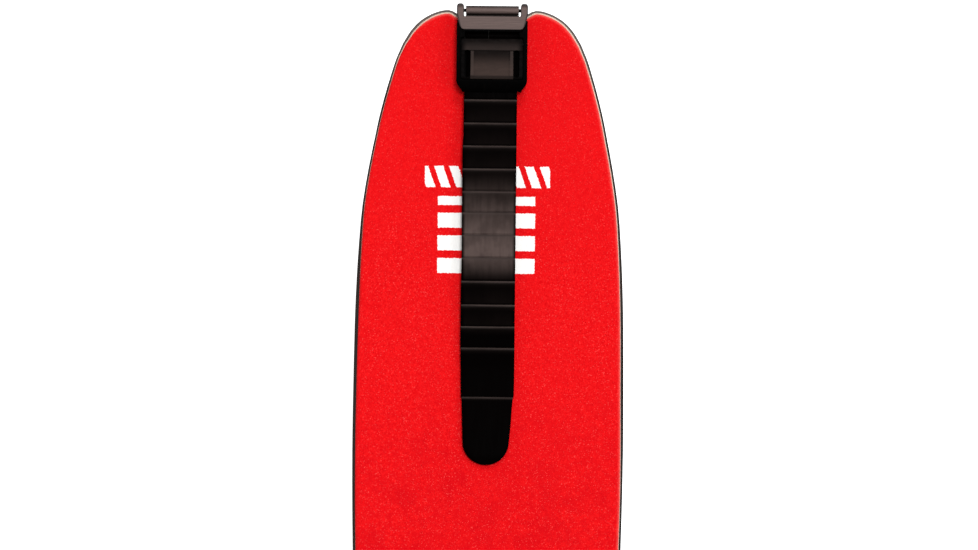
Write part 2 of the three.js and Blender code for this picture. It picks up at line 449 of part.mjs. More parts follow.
// ---------------------------------------------------------------- tip fitting
{
  const { y, z, r, t } = TIP_EYE, ro = r + t;
  const upper = [PLUSH[1] + 0.62, PLUSH[1] + 0.62 + t], lower = [0.05, 0.05 + t];
  // upper leaf, round the eye, lower leaf
  const aTop = Math.asin((upper[0] - z) / ro), aTopIn = Math.asin(Math.min(0.999, (upper[0] - z) / r));
  const aLow = Math.asin((lower[1] - z) / r), aLowOut = Math.asin(Math.max(-0.999, (lower[0] - z) / ro));
  const deg = (a) => (a * 180) / Math.PI;
  const profile = [
    [TIP_PLATE_Y, upper[0]], [TIP_PLATE_Y, upper[1]], [y + 3.2, upper[1]], [y + 1.4, z + ro - 0.12],
    ...arc(y, z, ro, 90, 270, 18), [y + 1.4, z - ro + 0.15], [y + 3.4, lower[0]], [TIP_PLATE_Y, lower[0]], [TIP_PLATE_Y, lower[1]],
    [y + 3.8, lower[1]], [y + 2.2, z - r + 0.35], [y + 1.2, z - r + 0.02], ...arc(y, z, r, 265, 95, 14), [y + 1.0, z + r - 0.02], [y + 2.4, upper[0]],
  ];
  let plate = slab(profile, -TIP_HALF[1] - 2, TIP_HALF[1] + 2).intersect(prism(TIP_LEAF, -10, 20));
  for (const [rx, ry] of TIP_RIVETS) {
    plate = plate.subtract(circlePrism(rx, ry, 1.65, 2, 8));
    plate = plate.subtract(turned([[0, -0.5], [2.85, -0.5], [2.75, 0.03], [1.65, 0.7], [1.65, 1.2], [0, 1.2]], rx, ry));
  }
  add('tip_plate', plate, 'steel');
  for (const [side, i] of [['left', 0], ['right', 1]]) {
    add(`tip_rivet_${side}`, turned(countersunk(upper[1] + 0.08, 3.4, 1.0, 1.5, 2.4, 0.08), ...TIP_RIVETS[i]), 'steel');
  }
  // reinforcing patch between the plush and the plate
  add('tip_patch', tipHoles(prism([
    [-20, -1590], [-23.5, -1594], [-24.5, -1634], [-22, -1639], [22, -1639], [24.5, -1634], [23.5, -1594], [20, -1590],
  ], PLUSH[1] + 0.06, PLUSH[1] + 0.56), 1.65), 'rubber');

  // wire bail: a straight leg in the eye, two arms, and a wide bow that goes over the ski's tip
  const half = [
    [0, y, z], [12, y, z], [23.5, y, z], [28.0, y - 1.4, z], [30.4, y - 5.5, z], [33.5, y - 20, z], [37.6, y - 40, z], [39.8, y - 52, z],
    [39.6, y - 60, z], [36.5, y - 67, z], [30.5, y - 71.6, z], [20, y - 74.6, z], [8, y - 75.9, z], [0, y - 76, z],
  ];
  const mirror = half.map(([a, b, c]) => [-a, b, c]);
  const lap = 4;      // the two halves run past each other's ends and are joined into one ring
  const right = [[-lap, y, z], ...half, [-lap, y - 76, z]];
  const left = [[lap, y, z], ...mirror, [lap, y - 76, z]];
  const ring = wire(right, BAIL_R, 10, 40).add(wire(left, BAIL_R, 10, 40));
  add('tip_bail', ring, 'steel');
  // sleeve on the bow of the bail
  const bow = [];
  for (let i = 10; i < half.length; i++) bow.push(half[i]);
  const bowPath = [...bow.slice(0, -1).map(([a, b, c]) => [-a, b, c]), [0, y - 76, z], ...bow.slice(0, -1).reverse()];
  const outer = wire(bowPath, BAIL_R + 1.1, 10, 20);
  const longPath = [mirror[8], mirror[9], ...bowPath, half[9], half[8]];
  add('bail_sleeve', outer.subtract(wire(longPath, BAIL_R + 0.3, 10, 30)), 'rubber');
}

export default part;
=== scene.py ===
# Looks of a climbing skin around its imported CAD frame. Metres, +Z out of the plush, +Y towards the tail.
import math

import bmesh
import bpy
import numpy as np
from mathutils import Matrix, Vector


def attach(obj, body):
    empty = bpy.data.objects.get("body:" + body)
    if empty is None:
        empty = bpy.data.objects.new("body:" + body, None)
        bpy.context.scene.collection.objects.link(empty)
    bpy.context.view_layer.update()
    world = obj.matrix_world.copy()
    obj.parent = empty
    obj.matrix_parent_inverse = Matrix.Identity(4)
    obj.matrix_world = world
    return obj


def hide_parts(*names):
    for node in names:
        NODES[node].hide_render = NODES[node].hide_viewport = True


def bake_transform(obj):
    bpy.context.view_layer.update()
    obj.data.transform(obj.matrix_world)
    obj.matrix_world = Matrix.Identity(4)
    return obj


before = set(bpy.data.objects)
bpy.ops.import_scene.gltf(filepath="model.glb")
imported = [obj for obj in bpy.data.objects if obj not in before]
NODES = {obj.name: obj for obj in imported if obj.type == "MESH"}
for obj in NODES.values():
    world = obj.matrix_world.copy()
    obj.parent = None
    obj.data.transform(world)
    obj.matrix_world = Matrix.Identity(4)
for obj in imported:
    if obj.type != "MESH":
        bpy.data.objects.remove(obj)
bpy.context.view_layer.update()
MM = 0.001
INSET = 8.0          # mm from the tail shoulders to the frame's origin


def at(x, y, z):
    """Station millimetres (measured from the tail shoulders) to frame metres."""
    return Vector((x * MM, (y + INSET) * MM, z * MM))


# ------------------------------------------------------------------ camera
cam_data = bpy.data.cameras.new("camera")
cam_data.lens, cam_data.sensor_width = 250.0, 36.0
cam_data.clip_start, cam_data.clip_end = 0.05, 20.0
camera = bpy.data.objects.new("camera", cam_data)
bpy.context.scene.collection.objects.link(camera)
camera.location = (-0.00026, -0.1113, 3.0593)
camera.rotation_euler = (0.0, 0.0, 0.0109)
bpy.context.scene.camera = camera
bpy.context.scene.view_settings.view_transform = "Standard"
bpy.context.scene.view_settings.look = "None"


# ------------------------------------------------------------------ node materials
class Mat:
    """A small wrapper for building a node material."""

    def __init__(self, name, base, rough, metal=0.0, spec=0.5, **sockets):
        self.m = bpy.data.materials.new(name)
        self.m.use_nodes = True
        self.nt = self.m.node_tree
        self.b = self.nt.nodes["Principled BSDF"]
        self.b.inputs["Base Color"].default_value = (*base, 1)
        self.b.inputs["Roughness"].default_value = rough
        self.b.inputs["Metallic"].default_value = metal
        self.b.inputs["Specular IOR Level"].default_value = spec
        for k, v in sockets.items():
            self.b.inputs[k.replace("_", " ")].default_value = v
        a = self.nt.nodes.new("ShaderNodeAttribute")
        a.attribute_name = "rest"
        self.co = a.outputs["Vector"]
        s = self.nt.nodes.new("ShaderNodeSeparateXYZ")
        self.nt.links.new(self.co, s.inputs[0])
        self.x, self.y, self.z = s.outputs[0], s.outputs[1], s.outputs[2]

    def put(self, value, socket):
        if isinstance(value, (int, float)):
            socket.default_value = value
        elif isinstance(value, (tuple, list)):
            socket.default_value = value
        else:
            self.nt.links.new(value, socket)

    def math(self, op, a, b=0.0, c=None):
        n = self.nt.nodes.new("ShaderNodeMath")
        n.operation = op
        self.put(a, n.inputs[0])
        self.put(b, n.inputs[1])
        if c is not None:
            self.put(c, n.inputs[2])
        return n.outputs[0]

    def scaled(self, sx, sy, sz, src=None):
        n = self.nt.nodes.new("ShaderNodeVectorMath")
        n.operation = "MULTIPLY"
        self.nt.links.new(src or self.co, n.inputs[0])
        n.inputs[1].default_value = (sx, sy, sz)
        return n.outputs[0]

    def noise(self, scale, detail=2.0, rough=0.5, vec=None, dist=0.0):
        n = self.nt.nodes.new("ShaderNodeTexNoise")
        self.nt.links.new(vec or self.co, n.inputs["Vector"])
        n.inputs["Scale"].default_value = scale
        n.inputs["Detail"].default_value = detail
        n.inputs["Roughness"].default_value = rough
        n.inputs["Distortion"].default_value = dist
        return n.outputs["Fac"]

    def ramp(self, fac, lo, hi, a=0.0, b=1.0):
        n = self.nt.nodes.new("ShaderNodeMapRange")
        n.interpolation_type = "SMOOTHSTEP"
        self.nt.links.new(fac, n.inputs["Value"])
        n.inputs["From Min"].default_value = lo
        n.inputs["From Max"].default_value = hi
        n.inputs["To Min"].default_value = a
        n.inputs["To Max"].default_value = b
        return n.outputs["Result"]

    def mix(self, fac, a, b, mode="MIX"):
        n = self.nt.nodes.new("ShaderNodeMix")
        n.data_type = "RGBA"
        n.blend_type = mode
        self.put(fac, n.inputs["Factor"])
        for v, s in ((a, n.inputs[6]), (b, n.inputs[7])):
            self.put((*v, 1) if isinstance(v, (tuple, list)) and len(v) == 3 else v, s)
        return n.outputs[2]

    def bump(self, height, distance, strength=1.0, after=None):
        n = self.nt.nodes.new("ShaderNodeBump")
        n.inputs["Strength"].default_value = strength
        n.inputs["Distance"].default_value = distance
        self.nt.links.new(height, n.inputs["Height"])
        if after is not None:
            self.nt.links.new(after, n.inputs["Normal"])
        return n.outputs["Normal"]

    def attr(self, name):
        n = self.nt.nodes.new("ShaderNodeAttribute")
        n.attribute_name = name
        return n.outputs["Fac"]

    def color(self, out):
        self.nt.links.new(out, self.b.inputs["Base Color"])

    def rough(self, out):
        self.nt.links.new(out, self.b.inputs["Roughness"])

    def normal(self, out):
        self.nt.links.new(out, self.b.inputs["Normal"])

    # 1 inside lo..hi (in millimetres), with soft ends
    def within(self, v, lo, hi, soft=0.25):
        up = self.ramp(v, (lo - soft) * MM, (lo + soft) * MM)
        down = self.ramp(v, (hi - soft) * MM, (hi + soft) * MM, 1.0, 0.0)
        return self.math("MULTIPLY", up, down)


def plush_material():
    m = Mat("plush_red", (0.85, 0.008, 0.011), 0.95, spec=0.03)
    m.b.inputs["Sheen Weight"].default_value = 0.03
    m.b.inputs["Sheen Roughness"].default_value = 0.45
    m.b.inputs["Sheen Tint"].default_value = (1.0, 0.45, 0.42, 1)
    hair = m.noise(1.0, 3.0, 0.6, m.scaled(2300, 800, 2300))
    tuft = m.noise(1450.0, 2.0, 0.55)
    clump = m.noise(330.0, 3.0, 0.55)
    lay = m.noise(1.0, 2.0, 0.5, m.scaled(42, 14, 42))
    # pile colour: deep red between the hairs, a lighter red on their ends, a few pale points
    tone = m.math("ADD", m.math("MULTIPLY", m.ramp(tuft, 0.3, 0.72), 0.6), m.math("MULTIPLY", m.ramp(hair, 0.3, 0.72), 0.4))
    c = m.mix(tone, (0.640, 0.0004, 0.0030), (0.930, 0.0125, 0.0138))
    fresh = m.ramp(m.y, (-130.0 + INSET) * MM, (-50.0 + INSET) * MM, 0.08, 0.42)      # evener towards the tail
    c = m.mix(fresh, c, (0.800, 0.0062, 0.0082))
    falloff_shade = m.ramp(m.y, (-225.0 + INSET) * MM, (-150.0 + INSET) * MM, 1.0, 0.0)     # painted shade: the pile darker farther down, where the light falls off; the mottling below is deepened there
    c = m.mix(m.math("MULTIPLY", m.ramp(clump, 0.30, 0.66, 1.0, 0.0), m.math("ADD", m.math("MULTIPLY", falloff_shade, 0.42), 0.26)), c, (0.66, 0.0030, 0.0070))
    # random darker blotches, deepened farther down by the painted falloff shade
    soil = m.ramp(m.noise(70.0, 4.0, 0.6), 0.46, 0.66)
    c = m.mix(m.math("MULTIPLY", soil, m.math("ADD", m.math("MULTIPLY", falloff_shade, 0.45), 0.05)), c, (0.60, 0.0022, 0.0066))
    # painted shade: the middle of the lower pile darker still, where the light falls off most
    centre_falloff_shade = m.math("MULTIPLY", m.within(m.x, -34.0, 30.0, 12.0), falloff_shade)
    c = m.mix(m.math("MULTIPLY", centre_falloff_shade, 0.16), c, (0.60, 0.0022, 0.0066))
    c = m.mix(m.ramp(lay, 0.36, 0.66, 0.0, 0.20), c, (0.72, 0.0055, 0.0095))
    speck = m.ramp(m.noise(2050.0, 0.0, 0.5), 0.66, 0.82, 0.0, 0.70)
    c = m.mix(m.math("MULTIPLY", speck, m.math("SUBTRACT", 1.0, fresh)), c, (0.97, 0.080, 0.075))
    # plain printed marks: a broken row of slanted bars, and a panel of level bars, the pile showing at their edges
    frayx = m.math("ADD", m.x, m.math("MULTIPLY", m.math("SUBTRACT", m.noise(1500.0, 2.0), 0.5), 0.0009))
    frayy = m.math("ADD", m.y, m.math("MULTIPLY", m.math("SUBTRACT", m.noise(1430.0, 2.0), 0.5), 0.0009))
    y0 = INSET
    lean = m.math("ADD", frayx, m.math("MULTIPLY", frayy, 0.36))
    phase = m.math("FRACT", m.math("DIVIDE", m.math("ADD", lean, 1.0), 0.0068))
    dash = m.math("LESS_THAN", phase, 0.60)
    dash = m.math("MULTIPLY", dash, m.within(frayx, -29.6, 26.7, 0.12))
    dash = m.math("MULTIPLY", dash, m.within(frayy, -80.0 + y0, -70.4 + y0, 0.12))
    band = m.math("FRACT", m.math("DIVIDE", m.math("ADD", frayy, (118.6 - y0) * MM), 0.0102))
    bars = m.math("LESS_THAN", band, 0.66)
    bars = m.math("MULTIPLY", bars, m.within(frayx, -23.6, 20.2, 0.12))
    bars = m.math("MULTIPLY", bars, m.within(frayy, -118.6 + y0, -84.0 + y0, 0.12))
    mark = m.math("MAXIMUM", dash, bars)
    mark = m.math("MULTIPLY", mark, m.ramp(tuft, 0.16, 0.34, 0.80, 1.0))
    c = m.mix(mark, c, (0.965, 0.955, 0.94))
    edge = m.attr("pale_edge_and_shade")
    c = m.mix(m.math("MULTIPLY", m.math("MAXIMUM", edge, 0.0), m.ramp(tuft, 0.3, 0.7, 0.55, 1.0)), c, (0.74, 0.36, 0.31))
    # painted shade: the pile's left edge darkened where the edge value is negative
    c = m.mix(m.math("MAXIMUM", m.math("MULTIPLY", edge, -1.0), 0.0), c, (0.26, 0.012, 0.012))
    m.color(c)
    n = m.bump(hair, 0.00022, 0.55)
    n = m.bump(tuft, 0.00020, 0.5, n)
    n = m.bump(clump, 0.0004, 0.35, n)
    m.normal(n)
    return m.m


def backing_material():
    m = Mat("backing_cotton", (0.93, 0.80, 0.68), 0.9, spec=0.15)
    k = 2 * math.pi / 0.00062
    wx = m.math("SINE", m.math("MULTIPLY", m.x, k))
    wy = m.math("SINE", m.math("MULTIPLY", m.y, k))
    weave = m.math("MULTIPLY", wx, wy)
    c = m.mix(m.ramp(weave, -0.8, 0.8), (0.66, 0.50, 0.39), (0.84, 0.70, 0.58))
    c = m.mix(m.ramp(m.noise(900.0, 2.0), 0.4, 0.7, 0.0, 0.5), c, (0.62, 0.42, 0.33))
    m.color(c)
    m.normal(m.bump(weave, 0.00012, 0.6))
    return m.m


def glue_material():
    m = Mat("glue_face", (0.012, 0.008, 0.007), 0.42, spec=0.05)
    mott = m.noise(160.0, 4.0, 0.6)
    film = m.noise(1.0, 3.0, 0.5, m.scaled(900, 60, 900))
    c = m.mix(m.ramp(mott, 0.35, 0.7), (0.004, 0.0022, 0.0018), (0.014, 0.009, 0.007))
    tail = m.ramp(m.y, (-40.0 + INSET) * MM, (-2.0 + INSET) * MM, 0.12, 0.85)
    c = m.mix(m.math("MULTIPLY", tail, m.ramp(m.z, 0.10 * MM, 0.35 * MM)), c, (0.125, 0.105, 0.095))     # painted highlight on the proud edge only, lighter towards the tail
    m.color(c)
    m.rough(m.ramp(mott, 0.3, 0.75, 0.34, 0.56))
    n = m.bump(film, 0.00012, 0.4)
    m.normal(m.bump(m.noise(1400.0, 2.0), 0.00005, 0.4, n))
    return m.m


def strap_material():
    m = Mat("strap_rubber", (0.004, 0.0033, 0.0032), 0.5, spec=0.008)
    fine = m.noise(2600.0, 2.0)
    drag = m.noise(1.0, 4.0, 0.6, m.scaled(520, 60, 300))
    blot = m.noise(95.0, 3.0, 0.55)
    streak = m.noise(1.0, 3.0, 0.6, m.scaled(70, 900, 300))
    # painted sheen: a pale band between the middle steps; each step rises out of the dark and its edge carries a
    # painted highlight
    sheen_mask = m.math("MULTIPLY", m.attr("painted_sheen"), m.ramp(blot, 0.25, 0.62, 0.72, 1.10))
    sheen_mask = m.math("MULTIPLY", sheen_mask, m.ramp(drag, 0.25, 0.7, 0.80, 1.08))
    sheen_mask = m.math("MULTIPLY", sheen_mask, m.within(m.x, -11.6, 10.6, 0.9))
    c = m.mix(sheen_mask, (0.0005, 0.0001, 0.0001), (0.094, 0.067, 0.061))
    # painted highlight along each step's crest
    wear_and_highlight = m.math("MULTIPLY", m.attr("wear_and_highlight"), m.ramp(streak, 0.25, 0.7, 0.55, 1.15))
    c = m.mix(wear_and_highlight, c, (0.050, 0.037, 0.034))
    m.color(c)
    m.rough(m.ramp(drag, 0.2, 0.8, 0.40, 0.56))
    n = m.bump(fine, 0.00003, 0.5)
    m.normal(m.bump(drag, 0.00004, 0.5, n))
    return m.m


def moulding_material():
    m = Mat("moulded_nylon", (0.0004, 0.0003, 0.0003), 0.5, spec=0.012)
    grain = m.noise(4200.0, 2.0, 0.6)
    scuff = m.noise(1.0, 5.0, 0.65, m.scaled(700, 180, 500))
    m.color(m.mix(m.ramp(scuff, 0.52, 0.72), (0.0002, 0.0001, 0.0001), (0.0016, 0.0011, 0.0010)))
    m.rough(m.ramp(scuff, 0.3, 0.75, 0.42, 0.60))
    m.normal(m.bump(grain, 0.00003, 0.6))
    return m.m


def lever_material():
    m = Mat("lever_nylon", (0.038, 0.026, 0.023), 0.55, spec=0.02)
    grain = m.noise(3600.0, 2.0, 0.6)
    scuff = m.noise(1.0, 4.0, 0.6, m.scaled(240, 700, 500))
    y0 = INSET

    def st(lo, hi, a=0.0, b=1.0):
        return m.ramp(m.y, (lo + y0) * MM, (hi + y0) * MM, a, b)

    # thumb pad: lighter towards its end, dark where it meets the axle
    c = m.mix(st(-27.0, -19.4, 1.0, 0.0), (0.0062, 0.0042, 0.0038), (0.049, 0.0325, 0.028))
    ridge = m.math("ADD", m.within(m.x, -9.5, -8.2, 0.2), m.within(m.x, 8.2, 9.5, 0.2))
    c = m.mix(m.math("MULTIPLY", ridge, st(-27.0, -19.4, 0.25, 0.5)), c, (0.068, 0.050, 0.045))
    c = m.mix(m.ramp(scuff, 0.3, 0.7, 0.25, 0.0), c, (0.012, 0.008, 0.007))
    c = m.mix(st(-30.3, -29.5, 0.75, 0.0), c, (0.010, 0.0075, 0.0068))
    # the frame round the pad is near black; the band over the axle is a dim brown, lighter towards the pad
    pad = m.math("MULTIPLY", m.within(m.x, -9.6, 9.6, 0.12), st(-18.75, -18.6, 1.0, 0.0))
    band = m.math("MULTIPLY", st(-18.7, -18.3), m.within(m.x, -12.4, 12.4, 1.6))
    band_c = m.mix(st(-18.0, -13.5), (0.027, 0.0195, 0.0178), (0.0016, 0.0010, 0.0009))
    band_c = m.mix(m.ramp(scuff, 0.3, 0.7, 0.4, 0.0), band_c, (0.010, 0.007, 0.0062))
    frame_c = m.mix(band, (0.0012, 0.0008, 0.0008), band_c)
    c = m.mix(pad, frame_c, c)
    m.color(c)
    m.rough(m.ramp(scuff, 0.3, 0.75, 0.45, 0.66))
    m.normal(m.bump(grain, 0.00003, 0.6))
    return m.m


def plate_material():
    m = Mat("dull_plate", (0.11, 0.078, 0.071), 0.5, metal=0.25, spec=0.22)
    brush = m.noise(1.0, 4.0, 0.65, m.scaled(120, 2600, 2600))
    grain = m.noise(3000.0, 2.0, 0.6)
    c = m.mix(m.ramp(brush, 0.3, 0.72), (0.076, 0.050, 0.045), (0.128, 0.089, 0.081))
    for line, groove_shade in ((-4.3, 0.30), (-5.1, 0.18), (-7.9, 0.25)):     # painted shade: dark lines standing for small grooves across the sheet
        c = m.mix(m.math("MULTIPLY", m.within(m.y, line - 0.12 + INSET, line + 0.12 + INSET, 0.12), groove_shade), c, (0.045, 0.032, 0.030))
    # painted shade along the clevis's sides, round its ears and across its rear
    ax = m.math("ABSOLUTE", m.x)
    draw = m.math("MULTIPLY", m.math("MINIMUM", m.math("ADD", m.y, (1.8 - INSET) * MM), 0.0), 0.23)
    cut = m.ramp(m.math("SUBTRACT", ax, draw), 15.15 * MM, 15.8 * MM)
    cut = m.math("MAXIMUM", cut, m.math("MULTIPLY", m.within(ax, 12.0, 13.1, 0.2), m.ramp(m.y, (-2.7 + INSET) * MM, (-2.2 + INSET) * MM)))
    cut = m.math("MAXIMUM", cut, m.ramp(m.y, (-9.15 + INSET) * MM, (-8.6 + INSET) * MM, 1.0, 0.0))
    cut = m.math("MAXIMUM", cut, m.ramp(m.y, (2.0 + INSET) * MM, (2.8 + INSET) * MM))
    c = m.mix(m.math("MULTIPLY", cut, 0.85), c, (0.010, 0.0065, 0.0060))
    # painted shade on every turned-down face, darker the further it turns from straight up
    c = m.mix(m.ramp(m.attr("up"), 0.62, 0.992, 0.9, 0.0), c, (0.008, 0.0052, 0.0048))
    m.color(c)
    m.rough(m.ramp(brush, 0.25, 0.75, 0.44, 0.62))
    n = m.bump(brush, 0.00003, 0.5)
    m.normal(m.bump(grain, 0.00003, 0.4, n))
    return m.m


def steel_material():
    m = Mat("satin_steel", (0.40, 0.39, 0.375), 0.45, metal=1.0)
    brush = m.noise(1.0, 4.0, 0.65, m.scaled(160, 2400, 2400))
    c = m.mix(m.ramp(brush, 0.3, 0.72), (0.34, 0.33, 0.32), (0.44, 0.43, 0.415))
    m.color(c)
    m.rough(m.ramp(brush, 0.25, 0.75, 0.42, 0.56))
    m.normal(m.bump(brush, 0.00001, 0.4))
    return m.m


def dark_steel_material():
    m = Mat("blackened_steel", (0.016, 0.0145, 0.014), 0.5, metal=0.35, spec=0.06)
    wear_and_highlight = m.noise(900.0, 4.0, 0.6)
    m.color(m.mix(m.ramp(wear_and_highlight, 0.42, 0.75), (0.0020, 0.0017, 0.0016), (0.011, 0.0095, 0.0088)))
    m.rough(m.ramp(wear_and_highlight, 0.3, 0.75, 0.36, 0.55))
    return m.m


def pad_material():
    m = Mat("soft_rubber", (0.012, 0.011, 0.011), 0.7, spec=0.3)
    grain = m.noise(2200.0, 3.0, 0.6)
    m.color(m.mix(m.ramp(m.noise(300.0, 3.0), 0.35, 0.7), (0.008, 0.0075, 0.0075), (0.020, 0.0185, 0.018)))
    m.normal(m.bump(grain, 0.00006, 0.6))
    return m.m


def patch_material():
    m = Mat("woven_patch", (0.02, 0.02, 0.021), 0.75, spec=0.25)
    k = 2 * math.pi / 0.0014
    wx = m.math("SINE", m.math("MULTIPLY", m.x, k))
    wy = m.math("SINE", m.math("MULTIPLY", m.y, k))
    weave = m.math("MULTIPLY", wx, wy)
    m.color(m.mix(m.ramp(weave, -0.7, 0.7), (0.010, 0.010, 0.011), (0.034, 0.034, 0.036)))
    n = m.bump(weave, 0.00016, 0.7)
    m.normal(m.bump(m.noise(2600.0, 2.0), 0.00004, 0.5, n))
    return m.m


def thread_material():
    m = Mat("stitch_thread", (0.45, 0.44, 0.42), 0.7, spec=0.25)
    k = 2 * math.pi / 0.00045
    twist = m.math("SINE", m.math("MULTIPLY", m.math("ADD", m.x, m.y), k))
    m.color(m.mix(m.ramp(twist, -0.8, 0.8), (0.30, 0.29, 0.28), (0.55, 0.54, 0.52)))
    m.normal(m.bump(twist, 0.00006, 0.6))
    return m.m


PLUSH, BACKING, GLUE = plush_material(), backing_material(), glue_material()
STRAP, MOULDED, LEVER = strap_material(), moulding_material(), lever_material()
PLATE, STEEL, PAD = plate_material(), steel_material(), pad_material()
DARK = dark_steel_material()
PATCH, THREAD = patch_material(), thread_material()


# ------------------------------------------------------------------ mesh helpers
def make(name, verts, faces, material, smooth=True, sharp=None):
    """A mesh object from points in metres, with its rest coordinates kept for the materials."""
    me = bpy.data.meshes.new(name)
    me.from_pydata([tuple(v) for v in verts], [], faces)
    me.validate()
    bm = bmesh.new()
    bm.from_mesh(me)
    bmesh.ops.recalc_face_normals(bm, faces=bm.faces)
    bm.to_mesh(me)
    bm.free()
    o = bpy.data.objects.new(name, me)
    bpy.context.scene.collection.objects.link(o)
    finish_mesh(o, material, smooth, sharp)
    return o


def finish_mesh(o, material, smooth=True, sharp=None):
    me = o.data
    me.materials.clear()
    me.materials.append(material)
    me.polygons.foreach_set("use_smooth", [smooth] * len(me.polygons))
    if smooth and sharp is not None:
        me.set_sharp_from_angle(angle=math.radians(sharp))
    co = np.zeros(len(me.vertices) * 3, np.float32)
    me.vertices.foreach_get("co", co)
    a = me.attributes.get("rest") or me.attributes.new("rest", "FLOAT_VECTOR", "POINT")
    a.data.foreach_set("vector", co)
    me.update()


def applied(o):
    """Replaces o's mesh by the one its modifiers make."""
    bpy.context.view_layer.update()
    dg = bpy.context.evaluated_depsgraph_get()
    me = bpy.data.meshes.new_from_object(o.evaluated_get(dg))
    o.modifiers.clear()
    o.data = me
    return o


def hardware(node, name, width, material, body, segments=2, angle=30):
    """A moulded, cast or folded piece from the CAD node: flats made whole, edges rounded."""
    bm = bmesh.new()
    bm.from_mesh(NODES[node].data)
    bmesh.ops.remove_doubles(bm, verts=bm.verts, dist=3e-6)
    bmesh.ops.dissolve_limit(bm, angle_limit=math.radians(0.6), use_dissolve_boundaries=False,
                             verts=bm.verts, edges=bm.edges, delimit=set())
    me = bpy.data.meshes.new(name)
    bm.to_mesh(me)
    bm.free()
    o = bpy.data.objects.new(name, me)
    bpy.context.scene.collection.objects.link(o)
    me.polygons.foreach_set("use_smooth", [True] * len(me.polygons))
    b = o.modifiers.new("round", "BEVEL")
    b.width, b.segments, b.limit_method = width * MM, segments, "ANGLE"
    b.angle_limit = math.radians(angle)
    b.use_clamp_overlap, b.harden_normals, b.miter_outer = True, True, "MITER_ARC"
    w = o.modifiers.new("even", "WEIGHTED_NORMAL")
    w.keep_sharp, w.weight = True, 80
    applied(o)
    finish_mesh(o, material)
    # how far each corner's normal faces up; the plate material paints shade by it on turned-down faces
    up = np.zeros(len(o.data.loops) * 3, np.float32)
    o.data.corner_normals.foreach_get("vector", up)
    o.data.attributes.new("up", "FLOAT", "CORNER").data.foreach_set("value", np.maximum(up[2::3], 0.0))
    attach(o, body)
    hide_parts(node)
    return o


def catmull(points, per, closed=False):
    """Points on a smooth curve through the given ones."""
    p = [np.array(q, float) for q in points]
    n = len(p)
    out = []
    for i in range(n if closed else n - 1):
        if closed:
            a, b, c, d = p[(i - 1) % n], p[i], p[(i + 1) % n], p[(i + 2) % n]
        else:
            b, c = p[i], p[i + 1]
            a = p[i - 1] if i > 0 else 2 * b - c
            d = p[i + 2] if i + 2 < n else 2 * c - b
        for k in range(per):
            t = k / per
            out.append(0.5 * ((2 * b) + (c - a) * t + (2 * a - 5 * b + 4 * c - d) * t * t + (3 * b - a - 3 * c + d) * t ** 3))
    if not closed:
        out.append(p[-1])
    return np.array(out)


def tube(points, radius, sides, closed=False, radii=None):
    """Vertices and faces of a round tube along points, in the points' units."""
    p = np.array(points, float)
    n = len(p)
    t = np.zeros_like(p)
    for i in range(n):
        a = p[(i - 1) % n] if closed or i > 0 else p[i]
        b = p[(i + 1) % n] if closed or i < n - 1 else p[i]
        t[i] = (b - a) / np.linalg.norm(b - a)
    up = np.array([0, 0, 1.0]) if abs(t[0][2]) < 0.9 else np.array([1.0, 0, 0])
    u = np.cross(up, t[0])
    u /= np.linalg.norm(u)
    verts, faces = [], []
    for i in range(n):
        u = u - t[i] * (u @ t[i])
        u /= np.linalg.norm(u)
        v = np.cross(t[i], u)
        r = radius if radii is None else radii[i]
        for k in range(sides):
            a = 2 * math.pi * k / sides
            verts.append(p[i] + r * (math.cos(a) * u + math.sin(a) * v))
    for i in range(n if closed else n - 1):
        j = (i + 1) % n
        for k in range(sides):
            l = (k + 1) % sides
            faces.append((i * sides + k, i * sides + l, j * sides + l, j * sides + k))
    if not closed:
        faces.append(tuple(range(sides))[::-1])
        faces.append(tuple((n - 1) * sides + k for k in range(sides)))
    return verts, faces


def lathe(profile, segments):
    """Vertices and faces turned about the Z axis from [r, z] pairs, both ends on the axis."""
    verts, faces = [], []
    rows = []
    for r, z in profile:
        if r < 1e-6:
            rows.append([len(verts)])
            verts.append((0, 0, z))
        else:
            rows.append(list(range(len(verts), len(verts) + segments)))
            for k in range(segments):
                a = 2 * math.pi * k / segments
                verts.append((r * math.cos(a), r * math.sin(a), z))
    for a, b in zip(rows, rows[1:]):
        for k in range(segments):
            l = (k + 1) % segments
            if len(a) == 1 and len(b) > 1:
                faces.append((a[0], b[l], b[k]))
            elif len(b) == 1 and len(a) > 1:
                faces.append((a[k], a[l], b[0]))
            elif len(a) > 1 and len(b) > 1:
                faces.append((a[k], a[l], b[l], b[k]))
    return verts, faces


def carried(o, body, slot, *nodes):
    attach(o, body)
    if nodes:
        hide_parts(*nodes)
    return o


# ------------------------------------------------------------------ outline of the strip
SIDECUT = [
    (0.3, 22.5), (0.7, 23.9), (2.0, 27.5), (3.4, 29.9), (4.7, 32.0), (6.1, 33.5), (7.4, 34.9), (8.8, 35.9),
    (10.1, 37.1), (12.8, 38.6), (15.5, 40.3), (18.2, 41.3), (22.3, 43.1), (31.3, 45.9), (40.3, 48.4),
    (49.3, 50.6), (58.3, 52.4), (67.3, 54.2), (76.3, 55.8), (85.3, 57.2), (94.3, 58.2), (112.3, 59.4),
    (130.3, 60.2), (148.3, 60.6), (175.0, 60.9), (198.0, 61.0), (220.0, 60.8), (240.0, 60.4), (290.0, 59.2),
    (360.0, 57.2), (440.0, 54.8), (520.0, 52.7), (600.0, 51.1), (680.0, 50.2), (760.0, 50.0), (840.0, 50.5),
    (920.0, 51.6), (1000.0, 53.2), (1080.0, 55.3), (1160.0, 57.8), (1240.0, 60.5), (1320.0, 63.2),
    (1390.0, 65.2), (1440.0, 66.0), (1480.0, 65.4), (1515.0, 62.4), (1545.0, 57.4), (1575.0, 49.6),
    (1600.0, 40.6), (1620.0, 31.8), (1634.0, 26.0), (1640.0, 24.0),
]
